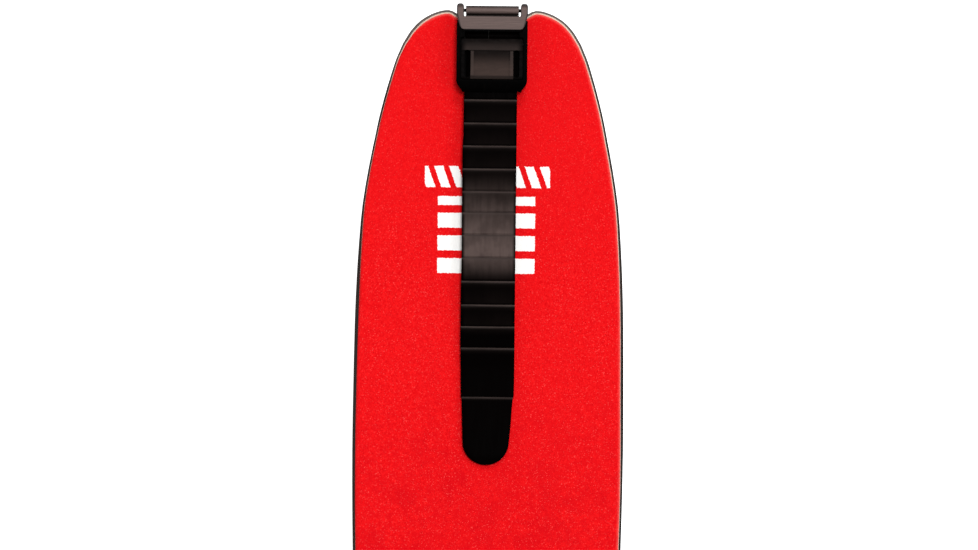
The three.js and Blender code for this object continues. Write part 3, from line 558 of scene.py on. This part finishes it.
NOTCH = [(19.5, 0.0), (18.0, 0.4), (16.2, 1.5), (14.6, 2.6), (12.6, 3.4), (9.0, 3.9), (4.0, 4.2)]
raw = [(0.0, -4.25)] + [(w, -d) for w, d in reversed(NOTCH)] + [(w, -d) for d, w in SIDECUT]
raw = np.array([(-4.0, -4.2)] + raw, float)
curve = catmull([(a, b, 0) for a, b in raw], 12)[12:, :2]
seg = np.hypot(*np.diff(curve, axis=0).T)
arc_at = np.concatenate([[0], np.cumsum(seg)])
STEP = 0.5
arc_n = int(arc_at[-1] / STEP)
arc_s = np.linspace(0, arc_at[-1], arc_n + 1)
OUT = np.stack([np.interp(arc_s, arc_at, curve[:, 0]), np.interp(arc_s, arc_at, curve[:, 1])], 1)
for _ in range(10):      # takes the small unevenness out of the outline
    ext = np.vstack([[-OUT[1, 0], OUT[1, 1]], OUT, OUT[-1] * 2 - OUT[-2]])
    OUT = (ext[:-2] + 2 * ext[1:-1] + ext[2:]) / 4
TAN = np.gradient(OUT, axis=0)
TAN[0] = (1, 0)
TAN /= np.linalg.norm(TAN, axis=1)[:, None]
NRM = np.stack([-TAN[:, 1], TAN[:, 0]], 1)       # points out of the strip
SIDE_FROM = int(np.argmax(OUT[:, 1] < -40.0))    # where the sides begin


# how far each layer stands out, by hand trimming: station, glue edge showing left and right, backing edge left and right
TRIM = np.array([
    (0, 1.05, 0.95, 0.66, 0.70), (6, 1.22, 1.00, 0.62, 0.66), (12, 1.15, 1.02, 0.55, 0.62), (20, 0.80, 1.02, 0.35, 0.48),
    (40, 0.95, 0.90, 0.15, 0.46), (55, 0.80, 0.92, 0.18, 0.42), (85, 0.88, 0.95, 0.18, 0.42), (130, 1.62, 1.25, 0.06, 0.24),
    (175, 1.42, 1.35, 0.06, 0.20), (220, 1.25, 0.95, 0.06, 0.20), (300, 1.10, 1.00, 0.12, 0.24), (1640, 1.10, 1.10, 0.20, 0.24)], float)


def trimmed(column):
    return lambda y: np.interp(-np.asarray(y, float), TRIM[:, 0], column)


HALF_COLS = 36
TAIL_ROWS = 12


def strip_grid(insets, station_rows, nose_y):
    """Grid of points (rows, columns) that fills the strip's outline moved in by the left and right insets."""
    left, right = (half_grid(i, station_rows, nose_y) for i in insets)
    middle = (left[:, :1] + right[:, :1]) / 2
    left = left[:, 1:][:, ::-1] * np.array([-1, 1])
    return np.concatenate([left, middle, right[:, 1:]], 1)         # columns from -HALF_COLS to HALF_COLS


def half_grid(inset, station_rows, nose_y):
    pts = OUT - NRM * inset(OUT[:, 1])[:, None]
    # tail edge, centre to side
    s = np.linspace(0, 1, HALF_COLS + 1)
    idx = s * SIDE_FROM
    tail = np.stack([np.interp(idx, np.arange(len(pts)), pts[:, 0]), np.interp(idx, np.arange(len(pts)), pts[:, 1])], 1)
    tail[0, 0] = 0
    ys, ws = pts[SIDE_FROM:, 1][::-1], pts[SIDE_FROM:, 0][::-1]

    def half_width(y):
        return np.interp(y, ys, ws)

    y_line = -64.0
    rows = []
    corner_y = tail[-1, 1]
    line = np.stack([s * half_width(y_line), np.full(HALF_COLS + 1, y_line)], 1)
    for r in range(TAIL_ROWS + 1):
        t = r / TAIL_ROWS
        row = tail * (1 - t) + line * t
        side_y = corner_y * (1 - t) + y_line * t
        fix = np.array([half_width(side_y), side_y]) - row[-1]
        row = row + fix * (s ** 2)[:, None]
        rows.append(row)
    for y in station_rows:
        if y < y_line and y > nose_y + 0.4:
            rows.append(np.stack([s * half_width(y), np.full(HALF_COLS + 1, y)], 1))
    e = float(inset(np.array([-1600.0]))[0])
    rows.append(np.stack([s * half_width(nose_y + e), np.full(HALF_COLS + 1, nose_y + e)], 1))
    return np.array(rows)


def station_list(fine_to, fine, coarse, fold=1.5):
    ys = list(np.arange(-64 - fine, -fine_to, -fine)) + list(np.arange(-fine_to, -856, -coarse))
    ys += list(np.arange(-856, -888.1, -fold)) + list(np.arange(-888 - coarse * 0.6, -1560, -coarse))
    ys += list(np.arange(-1560, -1640, -4.0))
    return sorted(set(round(float(y), 3) for y in ys), reverse=True)


def layer(name, insets, profile, stations, nose_y, material, relief=None, pale_and_shade=None):
    """A closed sheet: profile is [(further inset, z)] from the bottom edge round to the top face."""
    grids = [strip_grid([lambda y, d=d, i=i: i(y) + d for i in insets], stations, nose_y) for d, _ in profile]
    nr, nc = grids[0].shape[:2]

    def perimeter(g):
        return np.concatenate([g[0, :], g[1:, -1], g[-1, :-1][::-1], g[1:-1, 0][::-1]])

    verts, faces = [], []
    rings = []
    for g, (_, z) in zip(grids, profile):
        p = perimeter(g)
        rings.append(list(range(len(verts), len(verts) + len(p))))
        verts += [at(x, y, z) for x, y in p]
    for a, b in zip(rings, rings[1:]):
        n = len(a)
        for i in range(n):
            j = (i + 1) % n
            faces.append((a[i], b[i], b[j], a[j]))

    def ring_index(r, c):
        if r == 0:
            return c
        if c == nc - 1:
            return nc - 1 + r
        if r == nr - 1:
            return nc - 1 + nr - 1 + (nc - 1 - c)
        return 2 * (nc - 1) + (nr - 1) + (nr - 1 - r)

    for which, g, z in ((0, grids[0], profile[0][1]), (-1, grids[-1], profile[-1][1])):
        ids = np.zeros((nr, nc), int)
        for r in range(nr):
            for c in range(nc):
                if r in (0, nr - 1) or c in (0, nc - 1):
                    ids[r, c] = rings[which][ring_index(r, c)]
                else:
                    ids[r, c] = len(verts)
                    x, y = g[r, c]
                    dz = relief(x, y) if relief and which == -1 else 0.0
                    verts.append(at(x, y, z + dz))
        for r in range(nr - 1):
            for c in range(nc - 1):
                q = (ids[r, c], ids[r, c + 1], ids[r + 1, c + 1], ids[r + 1, c])
                faces.append(q if which == -1 else q[::-1])
    area = 0.0
    p = perimeter(grids[0]) * MM
    q = np.roll(p, -1, 0)
    area = abs(float(np.sum(p[:, 0] * q[:, 1] - q[:, 0] * p[:, 1]))) / 2
    o = make(name, verts, faces, material)
    if pale_and_shade is not None:      # how far the backing shows through the pile's edge, by ring and by side; negative values are painted shade on the left edge
        w = np.zeros(len(verts), np.float32)
        for ring, share in zip(rings, pale_and_shade):
            for i in ring:
                x, y = verts[i][0], verts[i][1] / MM - INSET
                tail = min(1.0, max(0.0, 1 + (y + 4) / 16))
                # negative on the left side, painted shade there; the right side and the tail take the pale backing
                side = 0.75 if x > 0 else -1.25
                w[i] = share * (side + (0.9 - side) * tail)
        o.data.attributes.new("pale_edge_and_shade", "FLOAT", "POINT").data.foreach_set("value", w)
    return o, area


GLUE_IN = (trimmed(TRIM[:, 1] * 0), trimmed(TRIM[:, 1] * 0))
BACK_IN = (trimmed(TRIM[:, 1]), trimmed(TRIM[:, 2]))
PLUSH_IN = (trimmed(TRIM[:, 1] + TRIM[:, 3]), trimmed(TRIM[:, 2] + TRIM[:, 4]))


def pile_relief(x, y):
    return 0.05 * math.sin(x * 0.21 + 1.3 * math.sin(y * 0.037)) * math.sin(y * 0.083 + 0.9 * math.sin(x * 0.11))


plush, plush_area = layer("plush_sheet", PLUSH_IN, [
    (0.10, 1.5), (0.0, 1.62), (-0.04, 2.1), (0.02, 2.55), (0.22, 2.86), (0.6, 3.03), (1.3, 3.1)],
    station_list(260, 4.0, 9.0), -1639.5, PLUSH, pile_relief, (0.55, 0.55, 0.5, 0.45, 0.32, 0.14, 0.0))
backing, backing_area = layer("backing_sheet", BACK_IN, [
    (0.05, 0.8), (0.0, 0.88), (0.0, 1.30), (0.06, 1.4), (2.0, 1.4)],
    station_list(200, 8.0, 14.0), -1639.5, BACKING)
glue, glue_area = layer("glue_film", GLUE_IN, [
    (0.14, 0.0), (0.02, 0.14), (0.0, 0.5), (0.10, 0.66), (0.3, 0.7), (2.4, 0.7)],
    station_list(200, 8.0, 14.0), -1632.0, GLUE)


def cutter(points, z0, z1):
    n = len(points)
    v = [at(x, y, z0) for x, y in points] + [at(x, y, z1) for x, y in points]
    f = [tuple(range(n))[::-1], tuple(range(n, 2 * n))] + [(i, (i + 1) % n, n + (i + 1) % n, n + i) for i in range(n)]
    return make("cutter", v, f, GLUE, smooth=False)


def rounded(x0, x1, y0, y1, r, n=6):
    out = []
    for cx, cy, a in ((x1 - r, y1 - r, 0), (x0 + r, y1 - r, 90), (x0 + r, y0 + r, 180), (x1 - r, y0 + r, 270)):
        for i in range(n + 1):
            t = math.radians(a + 90 * i / n)
            out.append((cx + r * math.cos(t), cy + r * math.sin(t)))
    return out


leaf = [(-11.4, -1603.6), (-14.4, -1606.6), (-22.4, -1637.6), (-22.4, -1660), (22.4, -1660), (22.4, -1637.6), (14.4, -1606.6), (11.4, -1603.6)]
for shape in (rounded(-14.3, 14.3, -65.3, -50.7, 2.6), leaf):
    tool = cutter(shape, -1.5, 2.0)
    b = glue.modifiers.new("cut", "BOOLEAN")
    b.operation, b.solver, b.object = "DIFFERENCE", "EXACT", tool
    applied(glue)
    bpy.data.objects.remove(tool)
finish_mesh(glue, GLUE, True, 50)

for piece, nodes, slot in ((plush, ("plush_tail", "plush_tip"), "plush"), (backing, ("backing_tail", "backing_tip"), "backing"),
                           (glue, ("glue_layer_tail", "glue_layer_tip"), "glue")):
    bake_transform(piece)
    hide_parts(*nodes)

# ------------------------------------------------------------------ ladder strap
STRAP_T, STEP_H, RUN_Z, LEVEL_TO, LAND_Z, END_Y, TAB_Y = 1.7, 0.9, 7.8, -96.0, 3.5, -204.8, -174.4
START_Y = -33.0
STEPS = [-40.7, -51.1, -61.4, -71.7, -81.9, -91.5, -101.6, -111.8, -122.2, -132.8, -142.6, -152.2]


def underside(y):
    if y >= LEVEL_TO:
        return RUN_Z
    t = (LEVEL_TO - y) / (LEVEL_TO - END_Y)
    return RUN_Z + (LAND_Z - RUN_Z) * t * t * (3 - 2 * t)


def smooth01(t):
    t = min(1.0, max(0.0, t))
    return t * t * (3 - 2 * t)


def strap_edges(y):
    """Left and right edge, as the strap leans a little and its tab draws in on one side."""
    xl = np.interp(-y, [33, 56.5, 62, 90, 110, 125, 150, 165, 173.5, 175.5, 184, 192, 194.4], [-12.38, -12.43, -12.75, -12.75, -12.6, -12.85, -12.85, -12.45, -12.4, -12.0, -11.75, -11.5, -11.4])
    xr = np.interp(-y, [33, 37, 44, 140, 165, 173.5, 175.5, 180, 185, 189, 194.4], [11.5, 11.5, 11.5, 11.5, 11.6, 11.45, 10.95, 10.6, 10.3, 10.0, 9.45])
    return float(xl), float(xr)


sections = []            # (y, top height over the underside, painted highlight along the step crest there)
sections += [(START_Y, STRAP_T + 0.05, 0.0), (-36.0, STRAP_T + 0.05, 0.0)]
for i, s in enumerate(STEPS):
    nxt = STEPS[i + 1] if i + 1 < len(STEPS) else s - 10.2
    sections += [(s + 0.95, STRAP_T + 0.03, 0.0), (s + 0.80, STRAP_T - 0.22, 0.0), (s + 0.42, STRAP_T - 0.26, 0.0), (s + 0.26, STRAP_T - 0.1, 0.05),
                 (s + 0.16, STRAP_T + 0.46, 0.4), (s + 0.08, STRAP_T + 0.53, 1.0), (s - 0.36, STRAP_T + 0.78, 0.8), (s - 0.66, STRAP_T + 0.87, 0.28),
                 (s - 0.95, STRAP_T + 0.87, 0.12), (s - 1.5, STRAP_T + 0.86, 0.03)]
    for k in range(1, 6):
        t = k / 6
        y = s - 1.5 + (nxt + 0.98 - s + 1.5) * t
        sections.append((y, STRAP_T + 0.03 + 0.82 * (1 - t) ** 1.05, 0.0))
last = STEPS[-1] - 10.2
sections += [(last, STRAP_T + 0.03, 0.0), (-168.0, STRAP_T, 0.0), (TAB_Y + 0.8, STRAP_T, 0.0), (TAB_Y + 0.62, STRAP_T - 0.15, 0.0), (TAB_Y + 0.3, STRAP_T - 0.15, 0.05),
             (TAB_Y + 0.18, STRAP_T + 0.3, 0.6), (TAB_Y + 0.05, STRAP_T + 0.45, 0.75), (TAB_Y - 0.4, STRAP_T + 0.57, 0.45), (TAB_Y - 0.9, STRAP_T + 0.58, 0.03)]
for y in np.arange(-176.0, -194.0, -1.5):
    sections.append((float(y), STRAP_T + 0.58, 0.0))
ARC_R, ARC_CY = 10.5, END_Y + 10.5
for k in range(1, 19):
    a = math.radians(88.0 * k / 18)
    y = ARC_CY - ARC_R * math.sin(a)
    sections.append((y, STRAP_T + 0.58 - 0.36 * smooth01((math.sin(a) - 0.55) / 0.45), 0.0))
verts, faces = [], []
ring_n = None
painted_sheen, wear_and_highlight = [], []


def sheen_band(y):
    # painted sheen: the strap lighter about its middle, where it tilts toward the light
    return smooth01((-y - 70.0) / 40.0) * (1 - smooth01((-y - 108.0) / 14.0))


for y, h, crest_highlight in sections:
    xl, xr = strap_edges(y)
    if y < ARC_CY:
        cx = (strap_edges(ARC_CY)[0] + strap_edges(ARC_CY)[1]) / 2
        half = (strap_edges(ARC_CY)[1] - strap_edges(ARC_CY)[0]) / 2
        w = half * math.sqrt(max(0.0, 1 - ((ARC_CY - y) / ARC_R) ** 2))
        xl, xr = cx - w, cx + w
    z0 = underside(y)
    z1 = z0 + h
    r = min(0.42, (xr - xl) * 0.3, h * 0.35)
    rt = min(0.30, r)
    ring = [(xl + r, z0), (xr - r, z0), (xr - 0.29 * r, z0 + 0.29 * r), (xr, z0 + r),
            (xr, z1 - rt), (xr - 0.29 * rt, z1 - 0.29 * rt), (xr - rt, z1)]
    for k in range(1, 8):
        t = k / 8
        dish = 0.05 * math.sin(math.pi * t) * (1 if y > TAB_Y else -1.6)
        ring.append(((xr - rt) * (1 - t) + (xl + rt) * t, z1 - dish))
    ring += [(xl + rt, z1), (xl + 0.29 * rt, z1 - 0.29 * rt), (xl, z1 - rt), (xl, z0 + r), (xl + 0.29 * r, z0 + 0.29 * r)]
    ring_n = len(ring)
    verts += [at(x, y, z) for x, z in ring]
    # painted light: between steps the surface lightens as it nears the next one; the painted sheen band is added on top
    before = [q for q in STEPS if q > y - 0.5]
    rise = min(1.0, max(0.0, (before[-1] - y) / 10.0)) if before and y > -146 else 0.0
    painted_sheen += [sheen_band(y) * (0.75 + 0.35 * rise) + 0.032 * rise] * ring_n
    # painted highlight on the top face of each step's crest
    wear_and_highlight += [crest_highlight * (1.0 if 5 <= k <= 14 else 0.0) for k in range(ring_n)]
count = len(sections)
for i in range(count - 1):
    for k in range(ring_n):
        l = (k + 1) % ring_n
        faces.append((i * ring_n + k, i * ring_n + l, (i + 1) * ring_n + l, (i + 1) * ring_n + k))
faces.append(tuple(range(ring_n)))
faces.append(tuple((count - 1) * ring_n + k for k in range(ring_n))[::-1])
strap = make("ladder_strap_moulded", verts, faces, STRAP, True, 38)
strap.data.attributes.new("painted_sheen", "FLOAT", "POINT").data.foreach_set("value", np.array(painted_sheen, np.float32))
strap.data.attributes.new("wear_and_highlight", "FLOAT", "POINT").data.foreach_set("value", np.array(wear_and_highlight, np.float32))
carried(strap, "strap", "strap", "ladder_strap")


def ribbon(name, path, half, thick, material, x0=0.0, r=0.35, ends=None, thin=None):
    """A flat strap along a path of (y, z) centre points, with rounded edges."""
    p = np.array(path, float)
    t = np.gradient(p, axis=0)
    t /= np.linalg.norm(t, axis=1)[:, None]
    nrm = np.stack([-t[:, 1], t[:, 0]], 1)
    vs, fs = [], []
    for i in range(len(p)):
        h = thick / 2 if thin is None else thick / 2 * thin[i]
        w = half if ends is None else half * ends[i]
        ring = [(-w + r, -h), (w - r, -h), (w - 0.29 * r, -h + 0.29 * r), (w, -h + r), (w, h - r), (w - 0.29 * r, h - 0.29 * r),
                (w - r, h), (-w + r, h), (-w + 0.29 * r, h - 0.29 * r), (-w, h - r), (-w, -h + r), (-w + 0.29 * r, -h + 0.29 * r)]
        for x, d in ring:
            q = p[i] + nrm[i] * d
            vs.append(at(x + x0, q[0], q[1]))
    n = 12
    for i in range(len(p) - 1):
        for k in range(n):
            l = (k + 1) % n
            fs.append((i * n + k, i * n + l, (i + 1) * n + l, (i + 1) * n + k))
    fs.append(tuple(range(n)))
    fs.append(tuple((len(p) - 1) * n + k for k in range(n))[::-1])
    return make(name, vs, fs, material, True, 40)


BAR_Y, BAR_Z = -12.5, 6.4
mid = 1.4 + STRAP_T / 2
path = [(y, BAR_Z + mid - 0.08) for y in np.linspace(-32.9, -13.7, 12)]     # lies inside the free run when this is drawn in
path += [(BAR_Y + mid * math.cos(a), BAR_Z + mid * math.sin(a)) for a in np.linspace(math.radians(90), math.radians(-90), 22)]
path += [(y, BAR_Z - mid) for y in np.linspace(-13.5, -32.9, 12)]
loop = ribbon("strap_turn", path, 12.3, STRAP_T - 0.1, STRAP, 0.0,
              ends=[0.925] * 12 + [0.96, 0.99] + [1.0] * (len(path) - 14), thin=[0.8] * 12 + [0.88, 0.96] + [1.0] * (len(path) - 14))
carried(loop, "buckle", "strap", "strap_loop")
ys = list(np.linspace(-33.0, -58.0, 18)) + list(np.linspace(-60.0, -65.8, 8))
ends = [1.0] * 18 + [1.0, 1.0, 1.0, 0.995, 0.98, 0.95, 0.89, 0.78]
ret = ribbon("strap_anchor_run", [(y, 4.15) for y in ys], 11.8, STRAP_T - 0.06, STRAP, -0.4, ends=ends)
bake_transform(ret)
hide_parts("strap_return")

# ------------------------------------------------------------------ buckle, hook, lever
hardware("buckle_body", "buckle_moulding", 0.42, MOULDED, "buckle", 3)
hardware("release_lever", "thumb_lever", 0.28, LEVER, "lever", 2)
hardware("clevis", "hinge_clevis", 0.62, PLATE, "buckle", 3)
hardware("tail_hook", "folded_hook", 0.22, PLATE, "hook", 2)
hardware("hook_pad", "hook_cushion", 0.20, PAD, "hook", 2)
hardware("anchor_plate", "anchor_backplate", 0.10, STEEL, "tail_half", 2)
hardware("tip_plate", "tip_folded_plate", 0.20, STEEL, "tip_half", 2)


def pin(node, name, y, z, r, half, body, material=STEEL, slot="steel"):
    c = min(0.25, r * 0.35)
    prof = [(0, -half), (r - c, -half), (r - 0.3 * c, -half + 0.3 * c), (r, -half + c), (r, half - c), (r - 0.3 * c, half - 0.3 * c), (r - c, half), (0, half)]
    v, f = lathe(prof, 40)
    v = [at(q[2], y + q[1], z + q[0]) for q in v]
    return carried(make(name, v, f, material, True, 40), body, slot, node)


pin("return_bar", "strap_bar", -12.5, 6.4, 1.2, 15.8, "buckle", DARK, "dark_steel")
pin("lever_pin", "lever_axle", -15.75, 12.15, 0.75, 15.8, "buckle", DARK, "dark_steel")
pin("clevis_rivet", "clevis_axle", -6.4, 6.8, 0.8, 14.85, "buckle", DARK, "dark_steel")
pin("hook_pin", "hook_axle", -0.5, 8.4, 0.8, 15.7, "buckle", DARK, "dark_steel")

LY, LZ, CR = -15.75, 12.15, 1.06
pts = [(-1.6, -9.5, LZ - CR), (-1.6, -12, LZ - CR), (-1.6, -14.6, LZ - CR)]
for i in range(25):
    a = 2 * math.pi * i / 8
    pts.append((-1.6 + 3.2 * i / 24, LY - CR * math.sin(a), LZ - CR * math.cos(a)))
pts += [(1.6, -17.2, LZ - CR + 0.12), (1.6, -19, 11.75), (1.6, -21.2, 12.35)]
v, f = tube(catmull(pts, 5), 0.2, 10)
coil = make("lever_coil_spring", [at(*q) for q in v], f, DARK, True, 60)
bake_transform(coil)     # its long leg runs into the lever
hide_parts("lever_spring")


def rivet(node, name, x, y, z_top, head, height, shank, flange, z_bottom, body):
    prof = [(0, z_bottom), (flange, z_bottom), (flange - 0.08, z_bottom + 0.08), (shank, z_bottom + 0.55), (shank, z_top),
            (head - 0.1, z_top), (head, z_top + 0.1), (head, z_top + height * 0.28)]
    for k in range(1, 10):
        a = math.radians(90 * k / 9)
        prof.append((0.55 + (head - 0.55) * math.cos(a), z_top + height * 0.28 + height * 0.72 * math.sin(a)))
    prof += [(0.42, z_top + height * 0.9), (0.0, z_top + height * 0.84)]
    v, f = lathe(prof, 48)
    v = [at(x + q[0], y + q[1], q[2]) for q in v]
    return carried(make(name, v, f, STEEL, True, 35), body, "steel", node)


for side, s in (("left", -1), ("right", 1)):
    rivet(f"anchor_rivet_{side}", f"anchor_rivet_head_{side}", 6.0 * s, -58.0, 5.08, 3.6, 1.0, 1.6, 2.5, 0.08, "tail_half")
    rivet(f"tip_rivet_{side}", f"tip_rivet_head_{side}", 9.5 * s, -1627.0, 4.5, 3.4, 1.0, 1.5, 2.4, 0.08, "tip_half")

# ------------------------------------------------------------------ tip fitting
EY, EZ = -1646.0, 1.95
half = [(0, EY), (12, EY), (23.5, EY), (28.0, EY - 1.4), (30.4, EY - 5.5), (33.5, EY - 20), (37.6, EY - 40), (39.8, EY - 52),
        (39.6, EY - 60), (36.5, EY - 67), (30.5, EY - 71.6), (20, EY - 74.6), (8, EY - 75.9), (0, EY - 76)]
ring = [(x, y, EZ) for x, y in half] + [(-x, y, EZ) for x, y in half[1:-1][::-1]]
v, f = tube(catmull(ring, 10, True), 1.75, 24, True)
carried(make("wire_bail", [at(*q) for q in v], f, STEEL), "bail", "steel", "tip_bail")
bow = [(-x, y, EZ) for x, y in half[10:-1]] + [(0, EY - 76, EZ)] + [(x, y, EZ) for x, y in half[10:-1][::-1]]
line = catmull(bow, 14)
radii = []
for i in range(len(line)):
    e = min(i, len(line) - 1 - i)
    radii.append(2.85 - (0.45 if e == 0 else 0.12 if e == 1 else 0.0))
v, f = tube(line, 2.85, 28, False, radii)
carried(make("bail_grip", [at(*q) for q in v], f, PAD, True, 50), "bail", "pad", "bail_sleeve")

# woven reinforcing patch, its hem pressed in by a row of lock stitches
patch_shape = [(-20, -1590), (-23.5, -1594), (-24.5, -1634), (-22, -1639), (22, -1639), (24.5, -1634), (23.5, -1594), (20, -1590)]


def inside_offset(points, d):
    n = len(points)
    out = []
    for i in range(n):
        a, b, c = (np.array(points[(i + k) % n], float) for k in (-1, 0, 1))
        u, w = (b - a) / np.linalg.norm(b - a), (c - b) / np.linalg.norm(c - b)
        nu, nw = np.array([-u[1], u[0]]), np.array([-w[1], w[0]])
        m = (nu + nw) / (1 + nu @ nw)
        out.append(tuple(b + m * d))
    return out


rings = [(0.0, 3.16), (-0.0, 3.45), (0.12, 3.62), (0.35, 3.68), (2.0, 3.68), (2.35, 3.58), (2.75, 3.58), (3.1, 3.68), (6.0, 3.66)]
shapes = [[at(x, y, z) for x, y in inside_offset(patch_shape, d)] for d, z in rings]
verts = [v for s in shapes for v in s]
n = len(patch_shape)
faces = [tuple(range(n))]
for i in range(len(shapes) - 1):
    for k in range(n):
        l = (k + 1) % n
        faces.append((i * n + k, i * n + l, (i + 1) * n + l, (i + 1) * n + k))
faces.append(tuple((len(shapes) - 1) * n + k for k in range(n)))
patch = make("tip_patch_woven", verts, faces, PATCH, True, 30)
carried(patch, "tip_half", "patch", "tip_patch")
sv, sf = [], []
loop_pts = inside_offset(patch_shape, 2.55)
for i in range(len(loop_pts)):
    a, b = np.array(loop_pts[i]), np.array(loop_pts[(i + 1) % len(loop_pts)])
    length = np.linalg.norm(b - a)
    num = max(1, int(length / 3.1))
    for k in range(num):
        p, q = a + (b - a) * (k + 0.14) / num, a + (b - a) * (k + 0.86) / num
        line3 = [(*(p + (q - p) * t), 3.62 + 0.16 * math.sin(math.pi * t)) for t in np.linspace(0, 1, 7)]
        rr = [0.22 if 0 < j < 6 else 0.12 for j in range(7)]
        v, f = tube(line3, 0.22, 8, False, rr)
        sf += [tuple(x + len(sv) for x in face) for face in f]
        sv += v
stitch = make("tip_patch_stitching", [at(*q) for q in sv], sf, THREAD, True, 60)
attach(stitch, "tip_half")

# ------------------------------------------------------------------ floor and light
fm = bpy.data.materials.new("floor_pale")
fm.use_nodes = True
fb = fm.node_tree.nodes["Principled BSDF"]
fb.inputs["Base Color"].default_value = (0.92, 0.92, 0.92, 1)
fb.inputs["Roughness"].default_value = 0.9
fb.inputs["Specular IOR Level"].default_value = 0.0
fb.inputs["Emission Color"].default_value = (1, 1, 1, 1)
fb.inputs["Emission Strength"].default_value = 0.8
me = bpy.data.meshes.new("floor")
me.from_pydata([(-40, -40, -0.13), (40, -40, -0.13), (40, 40, -0.13), (-40, 40, -0.13)], [], [(0, 1, 2, 3)])
me.materials.append(fm)
floor = bpy.data.objects.new("floor", me)
bpy.context.scene.collection.objects.link(floor)

world = bpy.data.worlds.new("studio")
world.use_nodes = True
bg = world.node_tree.nodes["Background"]
bg.inputs["Color"].default_value = (1.0, 0.985, 0.97, 1)
bg.inputs["Strength"].default_value = 0.42
bpy.context.scene.world = world


def sun(name, direction, strength, angle, color=(1, 1, 1)):
    d = bpy.data.lights.new(name, "SUN")
    d.energy, d.angle, d.color = strength, math.radians(angle), color
    o = bpy.data.objects.new(name, d)
    o.rotation_euler = Vector(direction).to_track_quat("-Z", "Y").to_euler()
    bpy.context.scene.collection.objects.link(o)


sun("front", (-0.10, -0.16, -1.0), 1.50, 12)
sun("from_tail", (-0.12, -0.80, -1.0), 0.80, 16)
sun("from_right", (-0.75, 0.10, -1.0), 0.45, 25)
